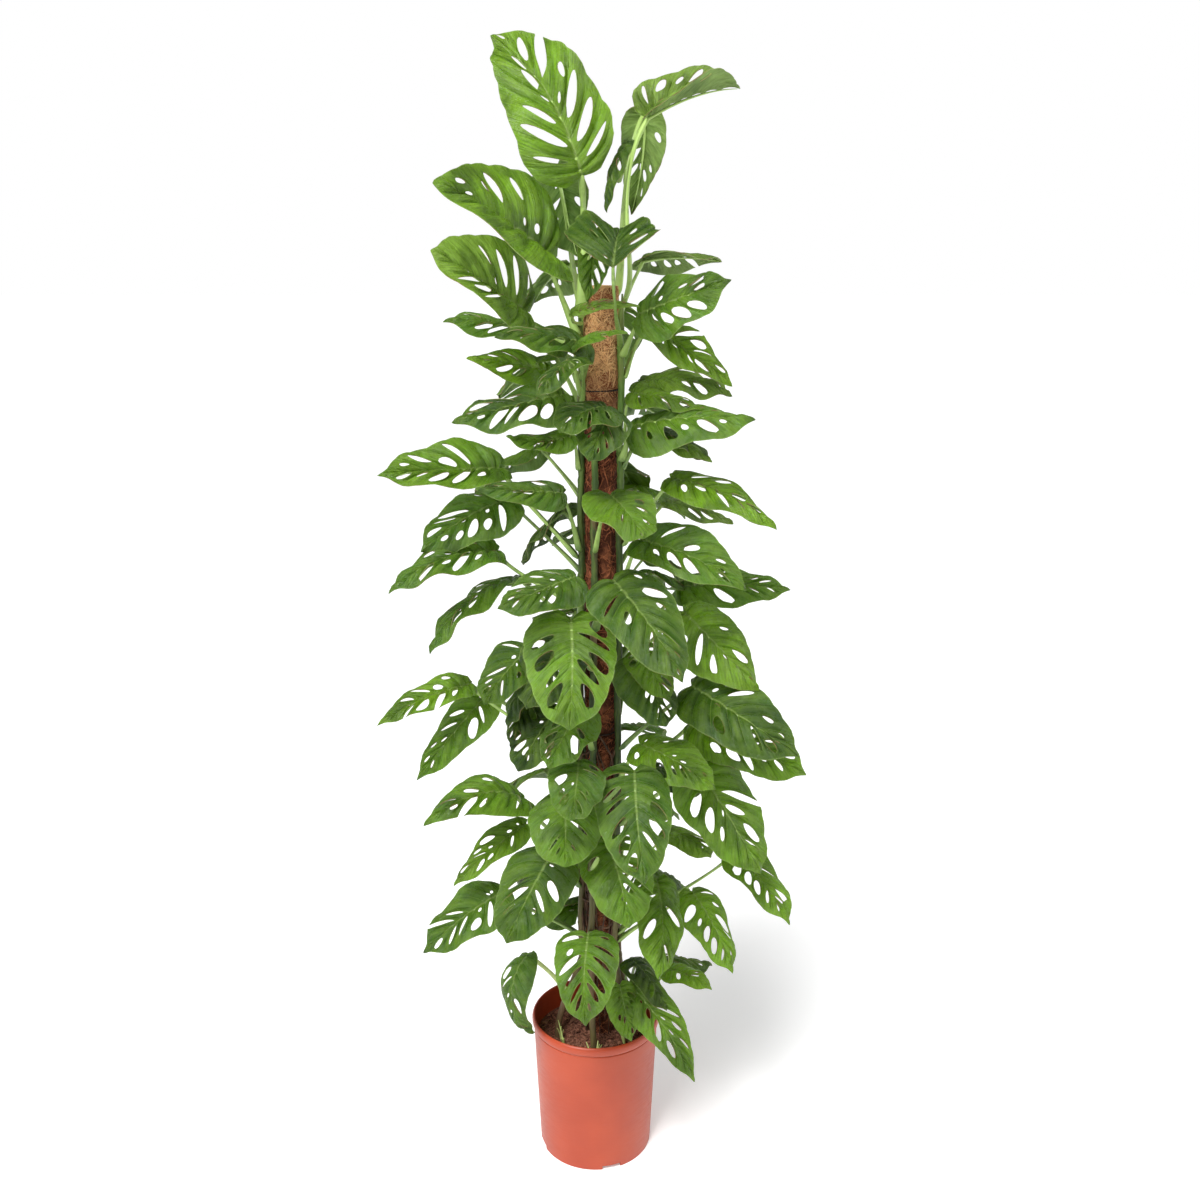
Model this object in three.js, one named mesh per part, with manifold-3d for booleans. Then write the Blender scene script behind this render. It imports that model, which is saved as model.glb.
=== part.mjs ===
// A swiss cheese plant (Monstera adansonii) that climbs a coir pole in a terracotta-coloured
// nursery pot. Millimetres, +Z up, origin at the middle of the pot's underside.
// A bearing is in degrees about the vertical: 0 is towards -Y, the front, and 90 towards +X.
import * as THREE from "three";
import { mergeVertices } from "three/addons/utils/BufferGeometryUtils.js";
import Module from "manifold-3d";

const wasm = await Module();
wasm.setup();

// ---- Driving dimensions ----

const CLEARANCE = 0.3; // between pieces that touch

// The pot: a 24 cm nursery pot with a rolled lip and a slotted foot ring.
const POT_HEIGHT = 272;
const LIP_RADIUS = 120;
const LIP_HEIGHT = 21;
const WALL_TOP_RADIUS = 116.5;
const WALL_FOOT_RADIUS = 105.5;
const WALL = 2.2;
const FLOOR_Z = 10;
const FLOOR = 3;
const SLOT_BEARINGS = [17, 107, 197, 287];
const SLOT_WIDTH = 36;
const SLOT_HEIGHT = 8;
const SLOT_DEPTH = 30; // enough to pass through the foot ring
const DRAIN_RADIUS = 6;
const DRAIN_COUNT = 8;
const DRAIN_RING = 72;
const LIP_ROUND = 5;
const LIP_EDGE = 1;
const FOOT_CHAMFER = 1;
const FOOT_STEP = 1.5; // how far the foot ring stands inside the wall
const POT_SEGMENTS = 40;
const DRAIN_SEGMENTS = 12;

// The soil: its top is a low mound that sinks towards the wall.
const SOIL_EDGE_Z = 226;
const SOIL_CROWN_Z = 240;
const MOUND = [[95, 231], [70, 236], [40, SOIL_CROWN_Z]]; // [radius, height]

// The pole: a stake inside a coir sleeve, with cord bound round the sleeve.
const POLE_X = 10;
const STAKE_RADIUS = 12;
const STAKE_TOP = 1602;
const COIR_RADIUS = 26.5;
const COIR_FOOT = 110;
const COIR_TOP = 1612;
const BINDING_HEIGHTS = [520, 845, 1445];
const BINDING_THICKNESS = 2.2;
const STAKE_SEGMENTS = 16;
const COIR_SEGMENTS = 32;
const BINDING_SEGMENTS = 24;

// The stems climb the pole outside its bindings.
const STEM_RADIUS = 6.5;
const STEM_GAP = 0.5; // between a stem and a binding
const STEM_RING = COIR_RADIUS + BINDING_THICKNESS + STEM_GAP + STEM_RADIUS;
const STEM_FOOT_DEPTH = 90;
const STEM_LEAN = 170; // the height over which a stem leans in to the pole
const STEM_SIDES = 8;
const STEM_STEPS = 20;
const LEAN_STATIONS = 4;
const CLIMB_STATIONS = 8;

// Each stem: the bearing and distance of its foot in the soil, its bearings low and high on the
// pole, and the height of its tip. A rear stem and its leaves are one grown piece.
const STEMS = {
  left: { foot: [-75, 84], climb: [-82, -66], top: 1575 },
  front: { foot: [-10, 74], climb: [-28, -16], top: 1420 },
  right: { foot: [55, 66], climb: [48, 68], top: 1600 },
  rear_right: { foot: [125, 70], climb: [118, 138], top: 1590, joined: true },
  rear_left: { foot: [-150, 72], climb: [-142, -128], top: 1580, joined: true },
};

// The petiole of a leaf leaves its stem level. Its bend and its last stretch are shares of its
// span, and it meets the blade along a mix of four directions.
const PETIOLE_RADIUS = 2.4;
const PETIOLE_SIDES = 4;
const PETIOLE_STEPS = 4;
const PETIOLE_BEND = 0.22;
const PETIOLE_END = 0.42;
const ARRIVAL = { up: 0.75, outward: 0.45, along: 0.35, normal: 0.25 };
const PETIOLE_SINK = 0.4; // how deep it ends in the blade, as a share of the slab

// The blade is a heart-shaped slab. Its side veins sweep back at the lobes and forward at the tip.
const BLADE_THICKNESS = 1.4;
const BLADE_STATIONS = [0, 0.08, 0.3, 0.65];
const SWEEP_FOOT = -48;
const LONG_BLADE = [200, 260]; // lengths between which a blade loses its lobes
const LONG_FOOT = 40; // how many degrees further forward the foot of such a long blade leans
const SWEEP_TIP = 55;
const SWEEP_POWER = 0.45;
const NOTCH_DEPTH = 0.65;
const NOTCH_LENGTH = 0.06;
const TAPER_START = 2.6;
const TAPER_POWER = 0.85;

// Each leaf of the front and sides. Its junction, where petiole and blade meet, has a height, a
// bearing and a reach from the pole's axis, and lies "rise" above the place where the petiole
// leaves the stem. The blade has a length from junction to tip, the bearing and dip of its tip, the
// bearing and tilt that its upper side looks to, a breadth as a share of its length, and a droop:
// the angle through which its midrib bends. Its two halves rise from the midrib by the fold, or
// hang where that is negative.
// [stem, height, bearing, reach, rise, length, heading, dip, look, tilt, breadth, droop, fold]
const LEAVES = [
  ["rear_right", 1883, 150, 145, 290, 175, -22, 69, 160, 15, 0.45, 15, -3],
  ["right", 1864, 75, 75, 270, 190, 123, -16, 0, 68, 0.62, 30, 54],
  ["rear_left", 1795, -134, 101, 220, 165, 24, 58, 170, 20, 0.6, 20, -3],
  ["left", 1779, -44, 44, 215, 275, -117, -53, 14, 4, 0.68, 34, 13],
  ["left", 1659, -60, 100, 125, 236, -49, -28, -10, 38, 0.78, 8, 28],
  ["rear_right", 1647, 139, 106, 90, 165, 121, 1, 170, 62, 0.6, 25, -3],
  ["right", 1645, 6, 171, 130, 150, 174, -34, 180, 55, 1.15, 20, 25],
  ["left", 1572, -29, 92, 20, 120, 63, -7, 0, 75, 0.34, 35, 45],
  ["left", 1571, -85, 124, 60, 200, -52, -30, 0, 42, 0.8, 20, 24],
  ["right", 1571, 46, 86, 70, 178, 53, -19, 0, 30, 0.58, 25, -5],
  ["right", 1545, 94, 76, 80, 180, 59, 29, 20, 50, 0.5, 25, 12],
  ["left", 1523, -15, 78, 60, 165, -61, -7, -20, 55, 0.55, 25, -3],
  ["left", 1517, -124, 80, 60, 205, -72, -11, -40, 62, 0.5, 25, -3],
  ["left", 1508, -14, 140, 100, 120, -35, 24, -40, 40, 0.55, 40, -3],
  ["rear_left", 1468, -124, 107, 60, 150, -65, -11, 0, 50, 0.55, 20, -3],
  ["rear_right", 1451, 119, 78, 50, 168, 61, 4, 35, 50, 0.6, 45, 5],
  ["left", 1438, -69, 66, 60, 200, -63, 9, 0, 60, 0.55, 15, -3],
  ["right", 1423, 9, 101, 80, 125, -19, 30, 10, 35, 0.7, 40, -3],
  ["right", 1390, 52, 65, 60, 220, 61, -7, 10, 50, 0.5, 25, -10],
  ["right", 1375, 90, 68, 60, 140, 58, 16, 30, 75, 0.45, 20, -3],
  ["front", 1290, 8, 112, 112, 106, 34, 30, 28, 38, 1.15, 30, 12],
  ["left", 1312, -90, 169, 150, 215, -64, -2, 0, 50, 0.55, 15, 20],
  ["right", 1295, 90, 119, 110, 210, 56, 17, 25, 45, 0.42, 45, -3],
  ["left", 1285, -42, 94, 110, 155, -60, -8, 0, 52, 0.46, 20, -3],
  ["rear_left", 1254, -101, 161, 130, 185, -56, 22, -20, 35, 0.62, 35, -3],
  ["rear_right", 1238, 126, 136, 100, 140, 104, 19, 60, 70, 0.55, 20, -3],
  ["right", 1199, 59, 78, 90, 205, 60, 17, 10, 48, 0.58, 20, 16],
  ["left", 1171, -87, 178, 100, 210, -55, 11, -30, 46, 0.46, 50, 12],
  ["left", 1150, -25, 100, 90, 160, -51, 9, -10, 48, 0.62, 20, -3],
  ["front", 1150, 10, 117, 110, 215, 39, 37, 20, 28, 0.64, 15, 10],
  ["rear_left", 1110, -109, 150, 100, 220, -49, 27, -80, 65, 0.5, 55, -3],
  ["rear_right", 1080, 124, 171, 110, 200, 82, -1, 20, 55, 0.5, 25, -3],
  ["front", 1089, -20, 142, 120, 195, 0, 46, 0, 28, 0.8, 20, -3],
  ["right", 1066, 86, 143, 110, 190, 58, 38, 15, 35, 0.66, 20, -3],
  ["right", 1017, 43, 96, 80, 120, 27, 29, 10, 35, 0.62, 20, -3],
  ["left", 1014, -64, 137, 110, 135, -35, 28, -15, 40, 0.72, 20, -3],
  ["right", 947, 69, 167, 130, 220, 57, 22, 15, 42, 0.64, 20, 4],
  ["left", 929, -90, 230, 150, 180, -63, 15, -20, 55, 0.42, 25, 18],
  ["left", 927, -85, 121, 90, 120, -22, 40, -20, 30, 0.6, 20, -3],
  ["front", 921, -18, 115, 100, 130, -26, 27, -15, 40, 0.72, 20, -3],
  ["rear_left", 892, -108, 211, 140, 208, -57, 42, -15, 42, 0.42, 25, -3],
  ["rear_right", 852, 97, 170, 130, 220, 71, 20, 20, 45, 0.6, 20, -3],
  ["front", 848, -14, 153, 70, 125, -5, 27, 0, 30, 0.8, 15, -3],
  ["right", 845, 44, 97, 90, 165, 51, 14, 15, 45, 0.6, 25, -3],
  ["front", 832, 20, 163, 140, 195, 6, 44, 5, 25, 0.68, 15, -3],
  ["right", 789, 77, 174, 120, 215, 47, 47, 15, 30, 0.66, 20, -3],
  ["front", 759, -35, 107, 90, 150, 1, 28, -5, 30, 0.9, 15, -3],
  ["left", 705, -90, 140, 110, 215, -50, -5, -20, 55, 0.5, 85, 6],
  ["front", 678, 6, 106, 90, 165, 15, 34, 5, 25, 0.78, 15, -3],
  ["left", 655, -94, 137, 110, 171, -63, 32, -20, 55, 0.42, 30, 12],
  ["left", 630, -57, 103, 90, 185, -29, 33, -15, 35, 0.74, 20, -3],
  ["right", 600, 92, 248, 150, 175, 32, 25, 30, 35, 0.52, 20, -3],
  ["right", 582, 57, 119, 90, 185, -1, 36, 20, 25, 0.54, 20, -3],
  ["right", 535, 83, 168, 100, 165, 31, 38, 30, 30, 0.56, 20, -3],
  ["left", 527, -87, 182, 90, 178, -63, 28, -25, 45, 0.6, 30, 4],
  ["front", 510, -10, 130, 50, 170, -1, 30, 0, 28, 0.68, 20, -3],
  ["left", 423, -69, 142, 100, 145, 20, 75, -45, 5, 0.55, 130, -3],
  ["right", 374, 37, 88, 60, 205, 44, 37, 20, 35, 0.44, 30, 4],
  ["right", 367, 85, 126, 60, 115, 42, -6, 30, 50, 0.5, 25, -3],
];

// The back of the plant: the rear stems carry leaves by turns, at even steps of height. Two
// fractions that never repeat pick a value from each range.
const REAR_LEAVES = 18;
const REAR_LOWEST = 350;
const REAR_STEP = 76;
const REAR = {
  spreadStep: 0.618,
  sizeStep: 0.371,
  bearing: [124, 176],
  turn: [-15, 15],
  reach: [85, 140],
  rise: 85,
  length: [165, 210],
  dip: [15, 40],
  tilt: 45,
  breadth: 0.62,
  droop: 25,
  fold: -7,
};

// ---- Directions and solids ----

const UP = new THREE.Vector3(0, 0, 1);
const POLE = new THREE.Vector3(POLE_X, 0, 0);
const { degToRad: radians, lerp, mapLinear, smoothstep } = THREE.MathUtils;

// The unit vector that points to a bearing, lifted by an angle above the horizontal.
function direction(bearing, lift = 0) {
  const level = Math.cos(radians(lift));
  return new THREE.Vector3(
    level * Math.sin(radians(bearing)),
    -level * Math.cos(radians(bearing)),
    Math.sin(radians(lift)),
  );
}

// A closed geometry as a manifold-3d solid.
function solid(geometry) {
  const bare = geometry.clone();
  bare.deleteAttribute("normal");
  bare.deleteAttribute("uv");
  const merged = mergeVertices(bare, 1e-4);
  return new wasm.Manifold(
    new wasm.Mesh({
      numProp: 3,
      vertProperties: merged.getAttribute("position").array,
      triVerts: new Uint32Array(merged.index.array),
    }),
  );
}

// A manifold-3d solid as a geometry with flat faces.
function surface(body) {
  const mesh = body.getMesh();
  const geometry = new THREE.BufferGeometry();
  geometry.setAttribute("position", new THREE.BufferAttribute(mesh.vertProperties, 3));
  geometry.setIndex(new THREE.BufferAttribute(mesh.triVerts, 1));
  const flat = geometry.toNonIndexed();
  flat.computeVertexNormals();
  return flat;
}

// A profile of [radius, height] points turned about +Z.
function turned(profile, segments) {
  const points = profile.map(([radius, height]) => new THREE.Vector2(radius, height));
  return new THREE.LatheGeometry(points, segments).rotateX(Math.PI / 2);
}

function tube(path, radius, sides, steps) {
  const section = new THREE.Shape();
  section.absarc(0, 0, radius, 0, 2 * Math.PI);
  return new THREE.ExtrudeGeometry(section, {
    curveSegments: sides / 2, // a full circle gets two points for each
    steps,
    bevelEnabled: false,
    extrudePath: path,
  });
}

function post(radius, from, to, segments) {
  const body = new THREE.CylinderGeometry(radius, radius, to - from, segments);
  return body.rotateX(Math.PI / 2).translate(0, 0, (from + to) / 2);
}

// ---- The pot and its soil ----

const WALL_TOP_Z = POT_HEIGHT - LIP_HEIGHT;

// The outer radius of the tapered wall at a height.
function wallRadius(height) {
  return mapLinear(height, 0, WALL_TOP_Z, WALL_FOOT_RADIUS, WALL_TOP_RADIUS);
}

function potSolid() {
  const inner = (height) => wallRadius(height) - WALL;
  const floorTop = FLOOR_Z + FLOOR;
  const profile = [
    [0, FLOOR_Z],
    [inner(FLOOR_Z) - FOOT_STEP, FLOOR_Z],
    [inner(0) - FOOT_STEP, 0],
    [WALL_FOOT_RADIUS - FOOT_CHAMFER, 0],
    [wallRadius(2 * FOOT_CHAMFER), 2 * FOOT_CHAMFER],
    [wallRadius(WALL_TOP_Z), WALL_TOP_Z],
    [LIP_RADIUS - LIP_EDGE, WALL_TOP_Z + LIP_EDGE],
    [LIP_RADIUS, WALL_TOP_Z + 3 * LIP_EDGE],
    [LIP_RADIUS, POT_HEIGHT - LIP_ROUND],
    [LIP_RADIUS - 0.25 * LIP_ROUND, POT_HEIGHT - 0.3 * LIP_ROUND],
    [LIP_RADIUS - 0.7 * LIP_ROUND, POT_HEIGHT],
    [LIP_RADIUS - 1.1 * LIP_ROUND, POT_HEIGHT - 0.3 * LIP_ROUND],
    [inner(WALL_TOP_Z), WALL_TOP_Z - LIP_ROUND],
    [inner(floorTop), floorTop],
    [0, floorTop],
  ];
  let body = solid(turned(profile, POT_SEGMENTS));
  for (const bearing of SLOT_BEARINGS) {
    const slot = new THREE.BoxGeometry(SLOT_WIDTH, SLOT_DEPTH, 2 * SLOT_HEIGHT);
    slot.translate(0, -WALL_FOOT_RADIUS, 0);
    slot.rotateZ(radians(bearing));
    body = body.subtract(solid(slot));
  }
  for (let i = 0; i < DRAIN_COUNT; i++) {
    const hole = post(DRAIN_RADIUS, FLOOR_Z - FLOOR, FLOOR_Z + 2 * FLOOR, DRAIN_SEGMENTS);
    const place = direction(((i + 0.5) * 360) / DRAIN_COUNT).multiplyScalar(DRAIN_RING);
    hole.translate(place.x, place.y, 0);
    body = body.subtract(solid(hole));
  }
  return body;
}

function soilSolid() {
  const foot = FLOOR_Z + FLOOR + CLEARANCE;
  const clear = CLEARANCE / Math.cos(Math.PI / POT_SEGMENTS);
  const inside = (height) => wallRadius(height) - WALL - clear;
  const profile = [
    [0, foot],
    [inside(foot), foot],
    [inside(SOIL_EDGE_Z), SOIL_EDGE_Z],
    ...MOUND,
    [0, SOIL_CROWN_Z],
  ];
  let body = solid(turned(profile, POT_SEGMENTS));
  const above = SOIL_CROWN_Z + FLOOR;
  const sleeve = post(COIR_RADIUS + CLEARANCE, COIR_FOOT - CLEARANCE, above, COIR_SEGMENTS);
  const stake = post(STAKE_RADIUS + CLEARANCE, FLOOR_Z, COIR_FOOT, STAKE_SEGMENTS);
  for (const hole of [sleeve, stake]) {
    body = body.subtract(solid(hole.translate(POLE_X, 0, 0)));
  }
  for (const name of Object.keys(STEMS)) {
    const hole = tube(stemPath(name, CLEARANCE), STEM_RADIUS + CLEARANCE, STEM_SIDES, STEM_STEPS);
    body = body.subtract(solid(hole));
  }
  return body;
}

// ---- The pole ----

function stakeSolid() {
  const stake = post(STAKE_RADIUS, FLOOR_Z + FLOOR + CLEARANCE, STAKE_TOP, STAKE_SEGMENTS);
  return solid(stake.translate(POLE_X, 0, 0));
}

function coirSolid() {
  const sleeve = post(COIR_RADIUS, COIR_FOOT, COIR_TOP, COIR_SEGMENTS);
  const [below, above] = [COIR_FOOT - STAKE_RADIUS, COIR_TOP + STAKE_RADIUS];
  const bore = post(STAKE_RADIUS + CLEARANCE, below, above, STAKE_SEGMENTS);
  return solid(sleeve.translate(POLE_X, 0, 0)).subtract(solid(bore.translate(POLE_X, 0, 0)));
}

// A ring of cord round the sleeve.
function bindingSolid(height) {
  const half = BINDING_THICKNESS / 2;
  const middle = COIR_RADIUS + CLEARANCE + half;
  const ring = [];
  for (let i = 0; i <= 4; i++) {
    const angle = (i * Math.PI) / 2;
    ring.push([middle + half * Math.cos(angle), height + half * Math.sin(angle)]);
  }
  return solid(turned(ring, BINDING_SEGMENTS).translate(POLE_X, 0, 0));
}

// ---- The stems ----

// The middle line of a stem. "deeper" lengthens it downwards, for the hole that it makes.
function stemPath(name, deeper = 0) {
  const { foot, climb, top } = STEMS[name];
  const [footBearing, footReach] = foot;
  const [low, high] = climb;
  const soil = SOIL_CROWN_Z;
  const stations = [[footBearing, footReach, soil - STEM_FOOT_DEPTH - deeper]];
  for (let i = 0; i <= LEAN_STATIONS; i++) {
    const share = i / LEAN_STATIONS;
    const lean = smoothstep(share, 0, 1);
    const bearing = lerp(footBearing, low, lean);
    const reach = lerp(footReach, STEM_RING, lean);
    stations.push([bearing, reach, soil + share * STEM_LEAN]);
  }
  for (let i = 1; i <= CLIMB_STATIONS; i++) {
    const share = i / CLIMB_STATIONS;
    stations.push([lerp(low, high, share), STEM_RING, lerp(soil + STEM_LEAN, top, share)]);
  }
  const points = stations.map(([bearing, reach, height]) =>
    direction(bearing).multiplyScalar(reach).add(POLE).setZ(height),
  );
  return new THREE.CatmullRomCurve3(points);
}

const stemPaths = Object.fromEntries(Object.keys(STEMS).map((name) => [name, stemPath(name)]));
const HALVINGS = 30;

// The place on a stem's middle line at a height, found by halving, and the line's direction there.
function stemNode(name, height) {
  const path = stemPaths[name];
  let [low, high] = [0, 1];
  for (let i = 0; i < HALVINGS; i++) {
    const middle = (low + high) / 2;
    if (path.getPoint(middle).z < height) low = middle;
    else high = middle;
  }
  return { place: path.getPoint(low), tangent: path.getTangent(low) };
}

function stemSolid(name) {
  return solid(tube(stemPaths[name], STEM_RADIUS, STEM_SIDES, STEM_STEPS));
}

// ---- The leaves ----

function rearLeaf(i) {
  const spread = (i * REAR.spreadStep) % 1;
  const size = (i * REAR.sizeStep) % 1;
  const [stem, side] = i % 2 ? ["rear_left", -1] : ["rear_right", 1];
  const bearing = side * lerp(...REAR.bearing, spread);
  const heading = bearing + lerp(...REAR.turn, size);
  const place = [REAR_LOWEST + i * REAR_STEP, bearing, lerp(...REAR.reach, size), REAR.rise];
  const blade = [lerp(...REAR.length, spread), heading, lerp(...REAR.dip, size), bearing];
  return [stem, ...place, ...blade, REAR.tilt, REAR.breadth, REAR.droop, REAR.fold];
}

function readLeaf(row) {
  const [stem, height, bearing, reach, rise, length, heading, dip, look, tilt, ...shape] = row;
  const [breadth, droop, fold] = shape;
  const junction = direction(bearing).multiplyScalar(reach).add(POLE).setZ(height);
  const along = direction(heading, -dip);
  const facing = direction(look, tilt);
  const normal = facing.addScaledVector(along, -facing.dot(along)).normalize();
  const across = new THREE.Vector3().crossVectors(normal, along);
  const angles = { droop: radians(droop), fold: radians(fold) };
  return { stem, rise, length, breadth, ...angles, junction, along, normal, across };
}

// The middle line of a petiole, from its stem to the blade.
function petiolePath(leaf) {
  const { stem, rise, junction, along, normal } = leaf;
  const { place, tangent } = stemNode(stem, junction.z - rise);
  const outward = junction.clone().sub(place).setZ(0);
  outward.addScaledVector(tangent, -outward.dot(tangent)).normalize();
  const gap = STEMS[stem].joined ? 0 : STEM_RADIUS + CLEARANCE;
  const start = place.addScaledVector(outward, gap);
  const span = junction.distanceTo(start);
  const arrival = UP.clone().multiplyScalar(ARRIVAL.up);
  arrival.addScaledVector(outward, ARRIVAL.outward);
  arrival.addScaledVector(along, ARRIVAL.along);
  arrival.addScaledVector(normal, ARRIVAL.normal).normalize();
  return new THREE.CubicBezierCurve3(
    start,
    start.clone().addScaledVector(outward, PETIOLE_BEND * span),
    junction.clone().addScaledVector(arrival, -PETIOLE_END * span),
    junction.clone().addScaledVector(normal, PETIOLE_SINK * BLADE_THICKNESS),
  );
}

// A point of the blade. "u" runs along the midrib from junction to tip, "v" from -1 to 1 along a
// side vein, and "lift" is the height above the middle of the slab. The midrib is an arc, and the
// side veins point back at the junction, to make the heart's lobes, and forward at the tip.
function bladePoint(leaf, u, v, lift) {
  const { length, breadth, droop, fold, junction, along, normal, across } = leaf;
  const turn = droop * (u - 0.5);
  const arc = length / (2 * Math.sin(droop / 2));
  const forward = along.clone().multiplyScalar(Math.cos(turn)).addScaledVector(normal, -Math.sin(turn));
  const above = normal.clone().multiplyScalar(Math.cos(turn)).addScaledVector(along, Math.sin(turn));
  const foot = SWEEP_FOOT + LONG_FOOT * smoothstep(length, ...LONG_BLADE);
  const sweep = radians(lerp(foot, SWEEP_TIP, Math.pow(u, SWEEP_POWER)));
  const lobe = 1 - NOTCH_DEPTH * Math.exp(-u / NOTCH_LENGTH);
  const taper = Math.pow(1 - Math.pow(u, TAPER_START), TAPER_POWER);
  const width = (length * breadth * lobe * taper) / 2;
  return junction
    .clone()
    .addScaledVector(along, length / 2 + arc * Math.sin(turn))
    .addScaledVector(normal, arc * (Math.cos(turn) - Math.cos(droop / 2)))
    .addScaledVector(across, v * width * Math.cos(sweep) * Math.cos(fold))
    .addScaledVector(forward, Math.abs(v) * width * Math.sin(sweep))
    .addScaledVector(above, lift + Math.abs(v) * width * Math.cos(sweep) * Math.sin(fold));
}

// The blade as a closed slab: three points across at each station, above and below, and the tip.
function bladeGeometry(leaf) {
  const corners = [];
  for (const lift of [BLADE_THICKNESS / 2, -BLADE_THICKNESS / 2]) {
    for (const u of BLADE_STATIONS) {
      for (const v of [-1, 0, 1]) corners.push(bladePoint(leaf, u, v, lift));
    }
    corners.push(bladePoint(leaf, 1, 0, lift));
  }
  const last = BLADE_STATIONS.length - 1;
  const half = corners.length / 2;
  const tip = half - 1;
  const at = (station, column) => 3 * station + column;
  const faces = [];
  const quad = (a, b, c, d) => faces.push([a, b, c], [a, c, d]);
  for (let i = 0; i < last; i++) {
    quad(at(i, 0), at(i + 1, 0), at(i + 1, 1), at(i, 1));
    quad(at(i, 1), at(i + 1, 1), at(i + 1, 2), at(i, 2));
  }
  faces.push([at(last, 0), tip, at(last, 1)], [at(last, 1), tip, at(last, 2)]);
  const upper = faces.slice();
  for (const [a, b, c] of upper) faces.push([a + half, c + half, b + half]);
  const rim = [at(0, 1)];
  for (let i = 0; i <= last; i++) rim.push(at(i, 0));
  rim.push(tip);
  for (let i = last; i >= 0; i--) rim.push(at(i, 2));
  rim.forEach((from, i) => {
    const to = rim[(i + 1) % rim.length];
    quad(from, from + half, to + half, to);
  });
  const geometry = new THREE.BufferGeometry().setFromPoints(corners);
  geometry.setIndex(faces.flat());
  return geometry;
}

function leafSolid(row) {
  const leaf = readLeaf(row);
  const petiole = solid(tube(petiolePath(leaf), PETIOLE_RADIUS, PETIOLE_SIDES, PETIOLE_STEPS));
  return petiole.add(solid(bladeGeometry(leaf)));
}

// ---- The assembly ----

const FINISHES = {
  pot: { color: 0xd6644a, roughness: 0.5, metalness: 0 },
  soil: { color: 0x3b2a22, roughness: 1, metalness: 0 },
  stake: { color: 0x8a6b48, roughness: 0.8, metalness: 0 },
  coir: { color: 0x8c5a3a, roughness: 1, metalness: 0 },
  binding: { color: 0x1c1a18, roughness: 0.6, metalness: 0 },
  stem: { color: 0x4d6b2f, roughness: 0.6, metalness: 0 },
  leaf: { color: 0x4a8a2c, roughness: 0.4, metalness: 0 },
};

const group = new THREE.Group();

function addPiece(name, finish, body) {
  const mesh = new THREE.Mesh(surface(body), new THREE.MeshStandardMaterial(FINISHES[finish]));
  mesh.name = name;
  group.add(mesh);
}

addPiece("pot", "pot", potSolid());
addPiece("soil", "soil", soilSolid());
addPiece("pole_stake", "stake", stakeSolid());
addPiece("pole_coir", "coir", coirSolid());
BINDING_HEIGHTS.forEach((height, i) => {
  addPiece(`pole_binding_${i + 1}`, "binding", bindingSolid(height));
});

const stems = Object.fromEntries(Object.keys(STEMS).map((name) => [name, stemSolid(name)]));
let leafNumber = 0;
const rearLeaves = Array.from({ length: REAR_LEAVES }, (_, i) => rearLeaf(i));
for (const row of [...LEAVES, ...rearLeaves]) {
  const [stem] = row;
  if (STEMS[stem].joined) {
    stems[stem] = stems[stem].add(leafSolid(row));
    continue;
  }
  leafNumber += 1;
  addPiece(`leaf_${String(leafNumber).padStart(2, "0")}`, "leaf", leafSolid(row));
}
for (const [name, body] of Object.entries(stems)) addPiece(`stem_${name}`, "stem", body);

export default group;
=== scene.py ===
"""A swiss cheese plant (Monstera adansonii) that climbs a coir pole in a terracotta-coloured pot.

Metres, +Z up, origin on the ground under the middle of the pot. A bearing is in degrees about
the vertical: 0 is towards -Y, the front, and 90 towards +X.
"""
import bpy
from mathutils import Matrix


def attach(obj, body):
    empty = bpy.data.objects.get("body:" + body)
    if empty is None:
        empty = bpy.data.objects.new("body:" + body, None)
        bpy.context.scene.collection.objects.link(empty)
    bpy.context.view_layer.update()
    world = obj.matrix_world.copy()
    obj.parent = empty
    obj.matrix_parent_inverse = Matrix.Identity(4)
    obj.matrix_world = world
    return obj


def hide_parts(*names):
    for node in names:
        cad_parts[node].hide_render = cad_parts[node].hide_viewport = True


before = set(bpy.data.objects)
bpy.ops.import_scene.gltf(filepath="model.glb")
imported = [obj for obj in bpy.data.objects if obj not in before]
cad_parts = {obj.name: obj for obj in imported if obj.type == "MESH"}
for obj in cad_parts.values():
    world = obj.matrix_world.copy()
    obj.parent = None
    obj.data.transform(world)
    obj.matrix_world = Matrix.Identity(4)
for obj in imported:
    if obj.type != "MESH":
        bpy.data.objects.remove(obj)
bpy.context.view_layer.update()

from types import SimpleNamespace

import bpy
import numpy as np
from numpy import cos, exp, linspace, pi, radians, sin

# ---- The pot and the soil ----

POT_HEIGHT = 0.272
LIP_RADIUS = 0.120
LIP_HEIGHT = 0.021
LIP_HALF = 0.009  # half the height of the rolled rim
LIP_BULGE = 0.0046  # how far it stands out from the groove under it
LIP_INSIDE = 0.0016  # how far it stands in from its middle
WALL_TOP_RADIUS = 0.1165
WALL_FOOT_RADIUS = 0.1055
WALL = 0.0022
FLOOR_Z = 0.010
FLOOR = 0.003
FLOOR_MIDDLE = 0.05  # the radius of a ring of points in it
SLOT_BEARINGS = (17, 107, 197, 287)
SLOT_WIDTH = 0.036
SLOT_HEIGHT = 0.008
DRAIN_RADIUS = 0.006
DRAIN_COUNT = 8
DRAIN_RING = 0.072
SOIL_EDGE_Z = 0.226
SOIL_CROWN_Z = 0.240
SOIL_FLAT = 0.045  # the radius of the mound's flat middle
SOIL_REACH = 0.1128
SOIL_FOOT_Z = 0.014
SOIL_TAPER = 0.92  # the radius of its foot as a share of the top's
CRUMBS = 520
SOIL_STRANDS = 420

# Where young shoots come up in the soil.
SHOOTS = (
    (-0.060, -0.046), (-0.064, -0.030), (-0.006, -0.092),
    (0.002, -0.086), (0.054, -0.046), (0.030, 0.098),
)

# ---- The pole ----

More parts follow.
